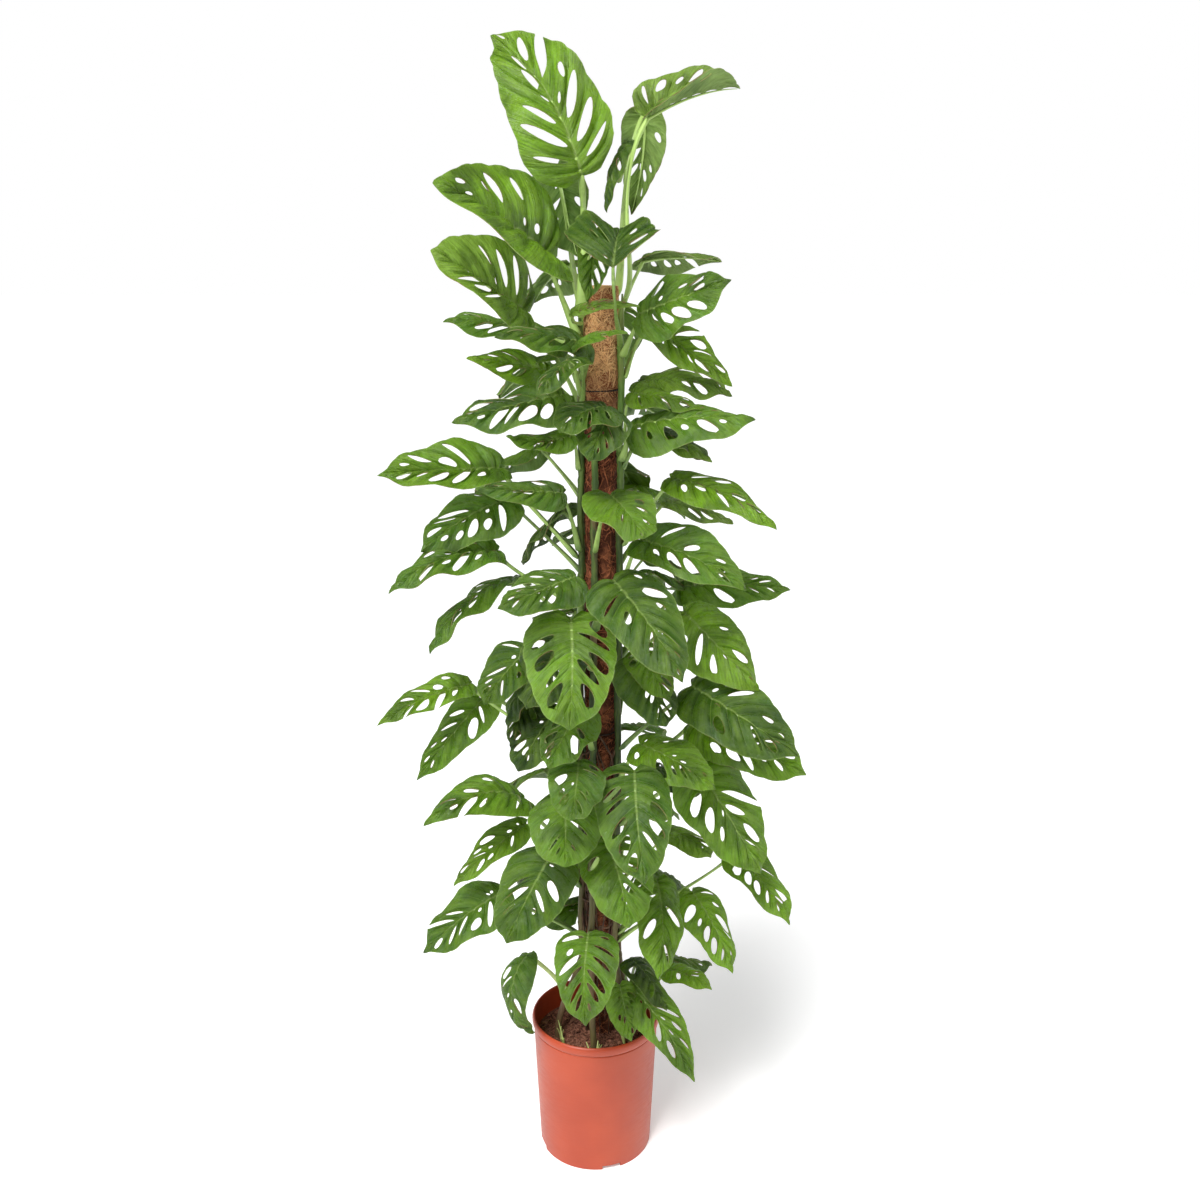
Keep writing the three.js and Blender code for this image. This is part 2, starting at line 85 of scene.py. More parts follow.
POLE = np.array([0.010, 0.0, 0.0])
STAKE_RADIUS = 0.012
COIR_RADIUS = 0.0265
COIR_FOOT = 0.110
COIR_TOP = 1.612
COIR_RINGS = 330
COIR_STRANDS = 3600
STRANDS_FROM = 0.245  # just above the soil
CROWN_FROM = 1.44  # from here to the top the strands lie closer
CROWN_STRANDS = 160  # on the top itself
BINDINGS = {"pole_binding_1": 0.520, "pole_binding_2": 0.845, "pole_binding_3": 1.445}
BINDING_RADIUS = 0.0011

# ---- The stems: foot bearing and reach, bearings low and high on the pole, height of the tip ----

STEM_RADIUS = 0.0065
STEM_RING = 0.0357
STEM_LEAN = 0.170
STEM_FOOT = 0.150
AERIAL_ROOTS = 110
ROOTS_END = 0.232  # just above the soil's edge
STEMS = {
    "left": (-75, 0.084, -82, -66, 1.575),
    "front": (-10, 0.074, -28, -16, 1.420),
    "right": (55, 0.066, 48, 68, 1.600),
    "rear_right": (125, 0.070, 118, 138, 1.590),
    "rear_left": (-150, 0.072, -142, -128, 1.580),
}

# ---- The leaves ----

BLADE_THICKNESS = 0.0008
BLADE_SHARE = 0.985  # of the set length, so that waves in it stay within it
SWEEP_FOOT = -48  # the angle by which the side veins point forward at the lobes, here back
SWEEP_TIP = 55  # and at the tip
SWEEP_POWER = 0.45
LONG_BLADE = (0.200, 0.260)  # between these lengths the angle at the lobes grows
LONG_FOOT = 40  # by this much
NOTCH_DEPTH = 0.65  # the share of its width that the blade lacks where the petiole joins it
NOTCH_LENGTH = 0.06
TAPER_START = 2.6
TAPER_POWER = 0.85
POINT_START = 0.70  # from here on, as a share of the way to the tip, the margin draws in
VEIN_BOW = 0.30
VEIN_LEAN = 0.48
PETIOLE_END = 0.42
STALK_SIDES = 10

# Where the side veins leave the midrib, as shares of its length.
VEINS = np.array([0.0, 0.03, 0.10, 0.20, 0.32, 0.45, 0.60, 0.77, 1.0])
STRIPS = len(VEINS) - 1
SLIT_ROWS = 5
HOLE_ROWS = 8

# The kinds of hole that the tissue between two side veins can have: the half width of a small one
# by the midrib, where the main one starts and ends on the way to the margin, its half width, all as
# lowest and highest values, how pointed its ends are, and whether it is torn open to the margin.
HOLES = {
    "-": ((0, 0), (0.45, 0.50), (0.60, 0.70), (0, 0), 1, 0),
    "d": ((0.10, 0.22), (0.45, 0.50), (0.60, 0.70), (0, 0), 1, 0),
    "o": ((0, 0), (0.36, 0.50), (0.62, 0.76), (0.13, 0.24), 1.0, 0),
    "b": ((0.10, 0.18), (0.44, 0.52), (0.68, 0.82), (0.14, 0.28), 1.0, 0),
    "O": ((0, 0), (0.32, 0.42), (0.78, 0.90), (0.28, 0.42), 0.8, 0),
    "n": ((0, 0), (0.06, 0.10), (0.42, 0.52), (0.26, 0.38), 0.9, 0),
    "l": ((0, 0), (0.12, 0.28), (0.70, 0.88), (0.10, 0.19), 1.25, 0),
    "L": ((0, 0), (0.09, 0.18), (0.78, 0.91), (0.20, 0.33), 1.1, 0),
    "T": ((0, 0), (0.12, 0.22), (0.94, 0.94), (0.24, 0.34), 1, 1),
}
KINDS = list(HOLES)

# How often each kind comes, by strips from the lobe to the tip.
HOLE_ODDS = np.array(
    [
        (1, 0, 0, 0, 0, 0, 0, 0, 0),
        (6, 2, 1, 0, 0, 0, 1, 0, 0),
        (3, 2, 3, 1, 2, 0, 2, 1, 0),
        (1, 2, 2, 2, 5, 1, 2, 2, 0.8),
        (1, 1, 2, 2, 5, 1, 2, 2, 0.9),
        (1, 1, 2, 1, 4, 1, 2, 1, 0.9),
        (3, 2, 3, 0, 2, 1, 2, 1, 0),
        (8, 1, 0, 0, 0, 0, 0, 0, 0),
    ]
)

# The leaves whose holes are set one by one: to the left of the midrib and to the right of it, as
# seen from below the tip with the upper side in view.
SET_HOLES = {
    "leaf_02": ("-lLLbTLo", "-lLldnn-"),
    "leaf_03": ("--dblob-", "---d----"),
    "leaf_16": ("----o--o", "-o-ooo--"),
    "leaf_23": ("--lo-ldo", "-oOo-lo-"),
    "leaf_24": ("--OOoO--", "-OLOLO--"),
    "leaf_45": ("-LoLLlL-", "-ollLLo-"),
}

# The leaves whose midrib bows sideways by a set share of their length.
SET_SWAY = {"leaf_02": -0.075, "leaf_03": -0.035}

# The leaves whose lobes sweep by a set angle, forward or, below nought, back.
SET_FOOT = {"leaf_04": 8, "leaf_03": -55}

# The leaves whose margin starts to draw in to the tip at a set share of the way to it.
SET_POINT = {"leaf_03": 0.20}

# The leaves with a pale, thick petiole, and those with flatter waves.
PALE_PETIOLES = ("leaf_46",)
CALM = ("leaf_03", "leaf_24")

# Each leaf: its name, its stem, the height, bearing and reach of its junction, how far below that
# its petiole leaves the stem, the blade's length, the heading and dip of its tip, the bearing and
# tilt that its upper side looks to, its breadth as a share of its length, its droop, its tone, and
# the fold by which its halves rise from the midrib. The tone runs from -1, dark, over 1, bright, to
# 2, as pale as the veins. Lengths are in millimetres and angles in degrees.
# A tone holds the leaf's own green and also painted shade and light: leaves that lie in shade are set
# darker, and lit ones brighter.
LEAVES = """
stem_leaf_01 rear_right 1883 150 145 290 175 -22 69 160 15 0.45 15 1.2 -3
leaf_01 right 1864 75 75 270 190 123 -16 0 68 0.62 30 1.6 54
stem_leaf_02 rear_left 1795 -134 101 220 165 24 58 170 20 0.6 20 0 -3
leaf_02 left 1779 -44 44 215 268 -117 -53 14 4 0.68 34 0.6 13
leaf_03 left 1659 -60 100 125 236 -49 -27 -10 44 0.92 14 0.8 26
stem_leaf_03 rear_right 1647 139 106 90 165 121 1 170 62 0.6 25 1.9 -3
leaf_04 right 1645 6 171 130 120 174 -27 174 55 1.65 20 -0.7 30
leaf_05 left 1572 -29 92 20 120 63 -7 0 42 0.23 35 1.6 12
leaf_06 left 1571 -85 124 60 200 -52 -30 0 42 0.8 20 1.6 24
leaf_07 right 1571 46 86 70 178 53 -19 0 30 0.58 25 0.4 -5
leaf_08 right 1545 94 76 80 180 59 29 20 50 0.5 25 1.4 12
leaf_09 left 1523 -15 78 60 165 -61 -7 -20 55 0.55 25 -0.1 -3
leaf_10 left 1517 -124 80 60 205 -72 -11 -40 62 0.5 25 0.3 -3
leaf_11 left 1508 -14 140 100 120 -35 24 -40 40 0.55 40 -0.8 -3
stem_leaf_04 rear_left 1468 -124 107 60 150 -65 -11 0 50 0.55 20 1.1 -3
stem_leaf_05 rear_right 1451 119 78 50 168 61 4 35 50 0.6 45 1.9 5
leaf_12 left 1438 -69 66 60 200 -63 9 0 60 0.55 15 0 -3
leaf_13 right 1423 9 101 80 125 -19 30 10 35 0.7 40 -0.8 -3
leaf_14 right 1390 52 65 60 220 61 -7 10 50 0.5 25 0.4 -10
leaf_15 right 1375 90 68 60 140 58 16 30 75 0.45 20 1.9 -3
leaf_16 front 1290 8 112 112 106 34 30 28 38 1.15 30 0.4 12
leaf_17 left 1312 -90 169 150 215 -64 -2 0 50 0.55 15 0.5 20
leaf_18 right 1295 90 119 110 210 56 17 25 45 0.42 45 1.1 -3
leaf_19 left 1285 -42 94 110 155 -60 -8 0 52 0.46 20 0 -3
stem_leaf_06 rear_left 1254 -101 161 130 185 -56 22 -20 35 0.62 35 0.1 -3
stem_leaf_07 rear_right 1238 126 136 100 140 104 19 60 70 0.55 20 1.9 -3
leaf_20 right 1199 59 78 90 205 60 17 10 48 0.58 20 0.45 16
leaf_21 left 1171 -87 178 100 210 -55 11 -30 46 0.46 50 0.3 12
leaf_22 left 1150 -25 100 90 160 -51 9 -10 48 0.62 20 -0.5 -3
leaf_23 front 1150 10 117 110 215 39 37 20 28 0.64 15 -0.65 10
stem_leaf_08 rear_left 1110 -109 150 100 220 -49 27 -80 65 0.5 55 0.2 -3
stem_leaf_09 rear_right 1080 124 171 110 200 82 -1 20 55 0.5 25 0 -3
leaf_24 front 1089 -20 142 120 195 0 46 0 28 0.8 20 0.4 -3
leaf_25 right 1066 86 143 110 190 58 38 15 35 0.66 20 0.8 -3
leaf_26 right 1017 43 96 80 120 27 29 10 35 0.62 20 0.4 -3
leaf_27 left 1014 -64 137 110 135 -35 28 -15 40 0.72 20 -0.4 -3
leaf_28 right 947 69 167 130 220 57 22 15 42 0.64 20 -0.4 4
leaf_29 left 929 -90 230 150 180 -63 15 -20 55 0.42 25 0.9 18
leaf_30 left 927 -85 121 90 120 -22 40 -20 30 0.6 20 -1 -3
leaf_31 front 921 -18 115 100 130 -26 27 -15 40 0.72 20 0 -3
stem_leaf_10 rear_left 892 -108 211 140 208 -57 42 -15 42 0.42 25 0.2 -3
stem_leaf_11 rear_right 852 97 170 130 220 71 20 20 45 0.6 20 0.6 -3
leaf_32 front 848 -14 153 70 125 -5 27 0 30 0.8 15 0 -3
leaf_33 right 845 44 97 90 165 51 14 15 45 0.6 25 1 -3
leaf_34 front 832 20 163 140 195 6 44 5 25 0.68 15 0.1 -3
leaf_35 right 789 77 174 120 215 47 47 15 30 0.66 20 0.35 -3
leaf_36 front 759 -35 107 90 150 1 28 -5 30 0.9 15 0.6 -3
leaf_37 left 705 -90 140 110 215 -50 -5 -20 55 0.5 85 0.3 6
leaf_38 front 678 6 106 90 165 15 34 5 25 0.78 15 0.3 -3
leaf_39 left 655 -94 137 110 171 -63 32 -20 55 0.42 30 1.35 12
leaf_40 left 630 -57 103 90 185 -29 33 -15 35 0.74 20 -0.4 -3
leaf_41 right 600 92 248 150 175 32 25 30 35 0.52 20 0.55 -3
leaf_42 right 582 57 119 90 185 -1 36 20 25 0.54 20 0.8 -3
leaf_43 right 535 83 168 100 165 31 38 30 30 0.56 20 0.6 -3
leaf_44 left 527 -87 182 90 178 -63 28 -25 45 0.6 30 0 4
leaf_45 front 510 -10 130 50 170 -1 30 0 28 0.68 20 0.2 -3
leaf_46 left 423 -69 142 100 145 20 75 -45 5 0.55 130 -0.45 -3
leaf_47 right 374 37 88 60 205 44 37 20 35 0.44 30 0.6 4
leaf_48 right 367 85 126 60 115 42 -6 30 50 0.5 25 1.5 -3
small_leaf_1 rear_right 1831 103 45 60 125 -34 60 -60 20 0.40 30 -1 -3
small_leaf_2 left 1526 -18 126 90 105 52 -14 0 60 0.42 25 0.1 -3
small_leaf_3 left 1374 -58 56 60 130 -54 -5 -30 40 0.46 -50 0.5 -3
small_leaf_4 right 1441 69 55 70 135 56 7 20 55 0.50 30 1.3 -3
small_leaf_5 right 1432 4 120 90 115 -40 13 -10 50 0.8 40 -0.7 -3
small_leaf_6 right 640 99 125 90 125 35 2 30 50 0.60 20 1.7 -3
small_leaf_7 right 388 20 100 50 100 25 60 15 25 0.62 20 0.5 -3
small_leaf_8 left 1040 -48 88 70 150 -30 40 -10 40 0.8 20 -1.0 -3
small_leaf_9 left 900 -62 84 60 140 -35 34 -20 40 0.75 20 -1.0 -3
small_leaf_10 right 990 50 80 60 130 30 42 20 35 0.8 20 -0.6 -3
small_leaf_11 left 1700 -10 40 120 125 -15 62 10 20 0.5 25 -0.3 14
"""

# The small leaves close to the pole, at even steps of height. Their dark tone is painted shade.
INNER_LEAVES = 14
INNER_LOWEST = 400
INNER_STEP = 76

# The leaves at the back, by turns on the two rear stems, at even steps of height.
REAR_LEAVES = 18
REAR_LOWEST = 350
REAR_STEP = 76

# ---- The studio ----

FLOOR_REACH = 30
AIR_LIGHT = 0.31
DAYLIGHT = 2.45
DAYLIGHT_SPREAD = 22
DAYLIGHT_TURN = (28, -14, 0)
CAMERA_PLACE = (0.0086, -2.152, 1.710)
CAMERA_TILT = 73.8  # from straight down, in degrees
FOCAL_LENGTH = 39  # in millimetres, as is the sensor's width
SENSOR_WIDTH = 36


# ---- Shapes as arrays ----


def direction(bearing, lift=0.0):
    """The unit vector towards a bearing: cos(lift) times the level direction, and sin(lift)
    upwards. The angles may be arrays."""
    bearing, lift = radians(bearing), radians(lift)
    level = cos(lift)
    return np.stack([level * sin(bearing), -level * cos(bearing), sin(lift) + 0 * bearing], axis=-1)


def unit(vectors):
    """Vectors divided by their lengths."""
    return vectors / np.maximum(np.linalg.norm(vectors, axis=-1, keepdims=True), 1e-12)


def smooth(x):
    """A step from 0 to 1 that starts and ends level: 3 x squared less 2 x cubed."""
    x = np.clip(x, 0, 1)
    return x * x * (3 - 2 * x)


def bell(x, width):
    """1 at nought, falling to both sides: e to the power of minus the square of x over the width."""
    return exp(-((x / width) ** 2))


def lumps(points, size, seed):
    """Smooth noise from -1 to 1: a hashed value at each corner of a grid of cubes, blended
    between the corners by the smooth step."""
    cell = np.floor(points / size)
    inside = smooth(points / size - cell)
    total = 0
    for corner in np.ndindex(2, 2, 2):
        key = (cell + corner) @ np.array([127.1, 311.7, 74.7]) + seed * 17.3
        value = np.modf(sin(key) * 43758.5453)[0]
        total = total + value * np.prod(np.where(corner, inside, 1 - inside), axis=-1)
    return total


def welded(points, corners):
    """Points within a hundredth of a millimetre of each other become one. Returns the first of
    each such group, the triangles, and which of them still have three different corners."""
    keys = np.round(points / 1e-5).astype(np.int64)
    _, first, back = np.unique(keys, axis=0, return_index=True, return_inverse=True)
    corners = back.reshape(-1)[corners]
    return first, corners, (corners != np.roll(corners, 1, axis=1)).all(axis=1)


class Batch:
    """Closed shapes gathered into one piece, with a finish number for each face and a few
    values for each point."""

    def __init__(self):
        self.points, self.corners, self.finishes, self.values = [], [], [], []
        self.count = 0

    def add(self, points, corners, finish=0, weld=True, **values):
        finish = np.broadcast_to(finish, len(corners))
        values = {k: np.broadcast_to(v, len(points)) for k, v in values.items()}
        if weld:
            first, corners, good = welded(points, corners)
            values = {k: v[first] for k, v in values.items()}
            points, corners, finish = points[first], corners[good], finish[good]
        self.points.append(points)
        self.corners.append(corners + self.count)
        self.finishes.append(finish)
        self.values.append(values)
        self.count += len(points)

    def rings(self, rings, order=1, **values):
        """Rings of points, each joined to the next by triangles, which -1 turns over."""
        index = np.arange(rings.size // 3).reshape(rings.shape[:2])
        index = np.concatenate([index, index[:, :1]], axis=1)
        a, b, c, d = index[:-1, :-1], index[:-1, 1:], index[1:, 1:], index[1:, :-1]
        corners = [np.stack(three, -1).reshape(-1, 3) for three in ((a, b, c), (a, c, d))]
        self.add(rings.reshape(-1, 3), np.concatenate(corners)[:, ::order], **values)

    def rod(self, path, sideways, wide, tall, sides, groove=0.0, **values):
        """A rod. Each ring is the path's point plus cos(angle) times the half width along the
        sideways direction and sin(angle) times the half height along the direction square to it
        and the path. The groove flattens the upper part. Both ends close to a point."""
        tangent = unit(np.gradient(path, axis=0))
        side = unit(sideways - tangent * np.sum(sideways * tangent, -1, keepdims=True))
        upward = np.cross(side, tangent)
        angle = linspace(0, 2 * pi, sides, endpoint=False)
        wide, tall, groove = (np.broadcast_to(x, len(path))[:, None] for x in (wide, tall, groove))
        rise = sin(angle) - groove * np.maximum(sin(angle), 0) ** 3
        ring = path[:, None] + side[:, None] * (wide * cos(angle))[..., None]
        ring = ring + upward[:, None] * (tall * rise)[..., None]
        ends = [np.repeat(path[None, i : i + 1], sides, axis=1) for i in (0, len(path) - 1)]
        self.rings(np.concatenate([ends[0], ring, ends[1]]), -1, **values)

    def mesh(self, name):
        mesh = bpy.data.meshes.new(name)
        mesh.from_pydata(np.concatenate(self.points).tolist(), [], np.concatenate(self.corners).tolist())
        return mesh

    def piece(self, name, materials, replaces=(), crease=60):
        """The gathered shapes as one smooth-shaded object that rides on the root body."""
        mesh = self.mesh(name)
        mesh.polygons.foreach_set("material_index", np.concatenate(self.finishes).astype(np.int32))
        at = {k: np.concatenate([v[k] for v in self.values]).astype(np.float32) for k in self.values[0]}
        if "u" in at:
            loops = np.concatenate(self.corners).reshape(-1)
            both = np.stack([at.pop("u")[loops], at.pop("v")[loops]], -1)
            mesh.uv_layers.new(name="VeinMap").data.foreach_set("uv", both.ravel())
        for key, value in at.items():
            mesh.attributes.new(key, "FLOAT", "POINT").data.foreach_set("value", value)
        for material in materials:
            mesh.materials.append(material)
        mesh.polygons.foreach_set("use_smooth", np.ones(len(mesh.polygons), bool))
        mesh.set_sharp_from_angle(angle=radians(crease))
        mesh.update()
        made = placed(name, mesh)
        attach(made, "root")
        if replaces:
            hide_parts(*replaces)
        return made


def placed(name, data, place=(0, 0, 0), turn=(0, 0, 0)):
    """An object in the scene that shows the data at a place."""
    made = bpy.data.objects.new(name, data)
    made.location, made.rotation_euler = place, turn
    bpy.context.scene.collection.objects.link(made)
    return made


# ---- Materials ----


class Finish:
    """A material's nodes, with one short call for each."""

    def __init__(self, name):
        self.material = bpy.data.materials.new(name)
        self.material.use_nodes = True
        self.tree = self.material.node_tree
        self.shader = self.tree.nodes["Principled BSDF"]

    def node(self, kind, values=(), **settings):
        """A node with its settings, and its inputs by name or number."""
        node = self.tree.nodes.new("ShaderNode" + kind)
        for key, value in settings.items():
            setattr(node, key, value)
        for key, value in dict(values).items():
            self.feed(node.inputs[key], value)
        return node

    def feed(self, socket, value):
        """Links an output to a socket, or sets the socket to a number or colour."""
        if isinstance(value, bpy.types.NodeSocket):
            self.tree.links.new(value, socket)
        elif isinstance(value, tuple) and socket.type == "RGBA":
            socket.default_value = (*value, 1)
        else:
            socket.default_value = value

    def sums(self, operation, a, b=0.0, clamp=False):
        return self.node("Math", {0: a, 1: b}, operation=operation, use_clamp=clamp).outputs[0]

    def remap(self, value, low, high, to_low=0.0, to_high=1.0):
        """A value from low..high turned smoothly into to_low..to_high."""
        inputs = {"Value": value, 1: low, 2: high, 3: to_low, 4: to_high}
        return self.node("MapRange", inputs, interpolation_type="SMOOTHSTEP").outputs[0]

    def mix(self, share, a, b):
        """Two colours mixed by a share."""
        return self.node("Mix", {0: share, 6: a, 7: b}, data_type="RGBA", blend_type="MIX").outputs[2]

    def place(self, rise=1):
        """The point on the piece, in its own metres, with its height scaled."""
        point = self.node("TexCoord").outputs["Object"]
        return self.node("Mapping", {"Vector": point, "Scale": (1, 1, rise)}).outputs[0]

    def noise(self, vector, scale, detail, roughness=0.5):
        inputs = {"Vector": vector, "Scale": scale, "Detail": detail, "Roughness": roughness}
        return self.node("TexNoise", inputs).outputs[0]

    def patches(self, vector, scale, detail, low, high, share=1.0):
        """Soft patches of noise, from nought up to a share."""
        return self.remap(self.noise(vector, scale, detail), low, high, 0.0, share)

    def value(self, name):
        return self.node("Attribute", attribute_name=name).outputs["Fac"]

    def bump(self, height, depth, strength=1.0, under=None):
        inputs = {"Height": height, "Distance": depth, "Strength": strength}
        if under is not None:
            inputs["Normal"] = under
        return self.node("Bump", inputs).outputs[0]

    def surface(self, color, roughness, normal=None, specular=0.5):
        """Feeds the shader. The specular level goes on its own socket."""
        self.feed(self.shader.inputs["Base Color"], color)
        self.feed(self.shader.inputs["Roughness"], roughness)
        if normal is not None:
            self.feed(self.shader.inputs["Normal"], normal)
        self.shader.inputs["Specular IOR Level"].default_value = specular
        return self.material


def leaf_finish(name, dark, middle, bright, pale, vein, roughness, gloss):
    """Leaf tissue: a green by tone, which turns to the veins' colour above a tone of 1. It is
    clouded pale, with soft dark patches of painted shade, paler half way between the side veins as
    a painted highlight on the bulging tissue there, and lighter on the veins, on the midrib and at
    the margin, with fine veins and a quilting raised. Light passes through it."""
    f = Finish(name)
    map_point = f.node("UVMap", uv_map="VeinMap").outputs[0]
    strip, outward = f.node("SeparateXYZ", {0: map_point}).outputs[:2]
    tone = f.value("tone")
    to_middle = f.sums("ADD", tone, 1.0, clamp=True)
    to_bright = f.sums("MULTIPLY", tone, 1.0, clamp=True)
    green = f.mix(to_bright, f.mix(to_middle, dark, middle), bright)
    green = f.mix(f.remap(tone, 1.0, 1.8, 0.0, 0.7), green, vein)
    point = f.place()
    blotch = f.sums("MULTIPLY", f.patches(point, 22, 2, 0.38, 0.62), 0.34)
    green = f.mix(blotch, green, pale)
    off = f.sums("PINGPONG", strip, 0.5)
    # Painted highlight: paler half way between the side veins, where the tissue bulges.
    green = f.mix(f.remap(off, 0.05, 0.5, 0.0, 0.36), green, pale)
    reach = f.sums("SUBTRACT", 0.05, f.sums("MULTIPLY", outward, 0.035))
    line = f.sums("SUBTRACT", 1.0, f.sums("DIVIDE", off, reach), clamp=True)
    line = f.remap(line, 0.0, 0.8, 0.0, f.sums("SUBTRACT", 0.62, f.sums("MULTIPLY", outward, 0.4)))
    rib = f.remap(outward, 0.008, 0.058, 0.8, 0.0)
    edge = f.remap(outward, 0.972, 0.99, 0.0, 0.45)
    lines = f.sums("MAXIMUM", f.sums("MAXIMUM", line, rib), edge)
    # Painted shade: soft dark patches across the blade.
    green = f.mix(f.patches(point, 15, 3, 0.46, 0.68, 0.55), green, dark)
    green = f.mix(lines, green, vein)
    fine_at = f.node("CombineXYZ", {0: f.sums("MULTIPLY", strip, 7.0), 1: outward}).outputs[0]
    fine = f.noise(fine_at, 2.2, 4, 0.6)
    quilted = f.noise(point, 95, 3, 0.55)
    normal = f.bump(fine, 0.0032, 0.9)
    normal = f.bump(quilted, 0.0046, 0.55, normal)
    normal = f.bump(f.noise(point, 900, 2), 0.0002, 0.25, normal)
    green = f.mix(f.remap(fine, 0.38, 0.68, 0.0, 0.55), green, dark)
    rough = f.remap(quilted, 0.3, 0.7, roughness - 0.05, roughness + 0.1)
    f.surface(green, rough, normal, gloss)
    through = f.node("BsdfTranslucent", {"Color": f.mix(0.55, green, (0.5, 0.74, 0.06))})
    both = f.node("MixShader", {0: 0.42, 1: f.shader.outputs[0], 2: through.outputs[0]})
    f.feed(f.tree.nodes["Material Output"].inputs["Surface"], both.outputs[0])
    return f.material


def stalk_finish():
    """Petioles and midribs: a green by tone, which turns pale yellow above a tone of 1.2, with
    lighter streaks along it and darker spots."""
    f = Finish("petiole_green")
    tone = f.value("tone")
    green = f.mix(f.remap(tone, -1.0, 1.0), (0.06, 0.13, 0.022), (0.34, 0.5, 0.12))
    green = f.mix(f.remap(tone, 1.2, 1.9), green, (0.64, 0.7, 0.26))
    streak = f.noise(f.place(0.08), 260, 3)
    green = f.mix(f.remap(streak, 0.4, 0.7, 0.0, 0.4), green, (0.3, 0.42, 0.12))
    green = f.mix(f.patches(f.place(), 60, 2, 0.55, 0.7, 0.35), green, (0.06, 0.12, 0.02))
    return f.surface(green, 0.42, f.bump(streak, 0.0006, 0.5))


def edge_finish():
    """The cut edge of a blade and of its holes: pale, dried to brown in places."""
    f = Finish("leaf_edge")
    color = f.mix(f.patches(f.place(), 30, 2, 0.42, 0.6), (0.24, 0.33, 0.09), (0.2, 0.11, 0.04))
    return f.surface(color, 0.6)


def stem_finish():
    """Climbing stems: dark olive green, streaked along and fresher green high up, with corky
    brown patches and brown bark at the foot."""
    f = Finish("stem_olive")
    streak = f.noise(f.place(0.12), 190, 4)
    corky = f.patches(f.place(0.4), 26, 3, 0.50, 0.64, 0.85)
    green = f.mix(f.remap(streak, 0.35, 0.7), (0.024, 0.046, 0.01), (0.08, 0.12, 0.024))
    brown = f.mix(streak, (0.085, 0.05, 0.025), (0.2, 0.13, 0.06))
    height = f.node("SeparateXYZ", {0: f.place()}).outputs[2]
    young = f.remap(height, 1.20, 1.55)
    fresh = f.mix(f.remap(streak, 0.3, 0.7), (0.072, 0.15, 0.024), (0.17, 0.31, 0.05))
    green = f.mix(young, green, fresh)
    woody = f.sums("MULTIPLY", corky, f.remap(young, 0.0, 1.0, 1.0, 0.5))
    woody = f.sums("ADD", woody, f.remap(height, 0.40, 0.75, 0.65, 0.0), clamp=True)
    return f.surface(f.mix(woody, green, brown), 0.55, f.bump(streak, 0.001, 0.7), 0.3)


def fibre_finish():
    """Coconut fibre: each strand has its own tint from dark to pale. It is red-brown low on the
    pole and darker there, partly as moist coir and partly as painted shade from the leaves round
    it, and tan above the highest cord, where the coir has dried. The dark gaps between the strands
    are painted shade."""
    f = Finish("coir_fibre")
    dark, middle, crown = (0.07, 0.02, 0.009), (0.52, 0.18, 0.08), (1.0, 0.64, 0.3)
    point = f.place()
    height = f.node("SeparateXYZ", {0: point}).outputs[2]
    # Low on the pole the coir is darker and redder: partly the moist coir's colour, partly painted shade.
    dry_and_unshaded = f.remap(height, 1.36, 1.50)
    clouds = f.remap(f.noise(point, 32, 3), 0.35, 0.65, -0.38, 0.3)
    tint = f.sums("ADD", f.value("tint"), clouds, clamp=True)
    tint = f.sums("ADD", tint, f.sums("MULTIPLY", dry_and_unshaded, 0.1), clamp=True)
    color = f.mix(dry_and_unshaded, f.mix(tint, dark, middle), f.mix(tint, (0.33, 0.098, 0.036), crown))
    strands = f.noise(f.place(0.25), 520, 4, 0.7)
    # Painted shade: the gaps between the strands are darkened, less so on the top.
    hollow = f.sums("SUBTRACT", 0.6, f.sums("MULTIPLY", dry_and_unshaded, 0.44))
    color = f.mix(f.remap(strands, 0.35, 0.7, hollow, 0.0), color, dark)
    return f.surface(color, 0.9, f.bump(strands, 0.0016, 0.9), 0.2)


def root_finish():
    """Aerial roots: dark brown bark, paler where it has dried."""
    f = Finish("root_bark")
    grain = f.noise(f.place(0.2), 300, 4)
    color = f.mix(f.remap(grain, 0.3, 0.7), (0.03, 0.016, 0.01), (0.12, 0.06, 0.032))
    color = f.mix(f.patches(f.place(), 35, 2, 0.55, 0.7, 0.5), color, (0.2, 0.13, 0.07))
    return f.surface(color, 0.75, f.bump(grain, 0.0008, 0.8), 0.3)


def cord_finish():
    """Dark bast cord with a fine lay."""
    f = Finish("binding_cord_dark")
    lay = f.noise(f.place(3), 700, 3)
    color = f.mix(lay, (0.01, 0.008, 0.007), (0.05, 0.036, 0.026))
    return f.surface(color, 0.8, f.bump(lay, 0.0006, 0.8), 0.3)


def soil_finish():
    """Moist peat and coir: near black where its bump is low, partly the peat's own colour and partly
    painted shade in the hollows, with red-brown crumbs and a few pale fibres.
    """
    f = Finish("potting_soil_dark")
    point = f.place()
    crumbs = f.noise(point, 260, 5, 0.65)
    # Near black where the bump is low: partly the peat's own colour, partly painted shade in the hollows.
    color = f.mix(f.remap(crumbs, 0.32, 0.68), (0.026, 0.008, 0.004), (0.3, 0.12, 0.075))
    color = f.mix(f.patches(point, 38, 3, 0.4, 0.7, 0.5), color, (0.12, 0.045, 0.026))
    color = f.mix(f.remap(f.value("tint"), 0.0, 1.0, 0.0, 0.75), color, (0.5, 0.235, 0.15))
    return f.surface(color, 0.95, f.bump(crumbs, 0.0035), 0.2)


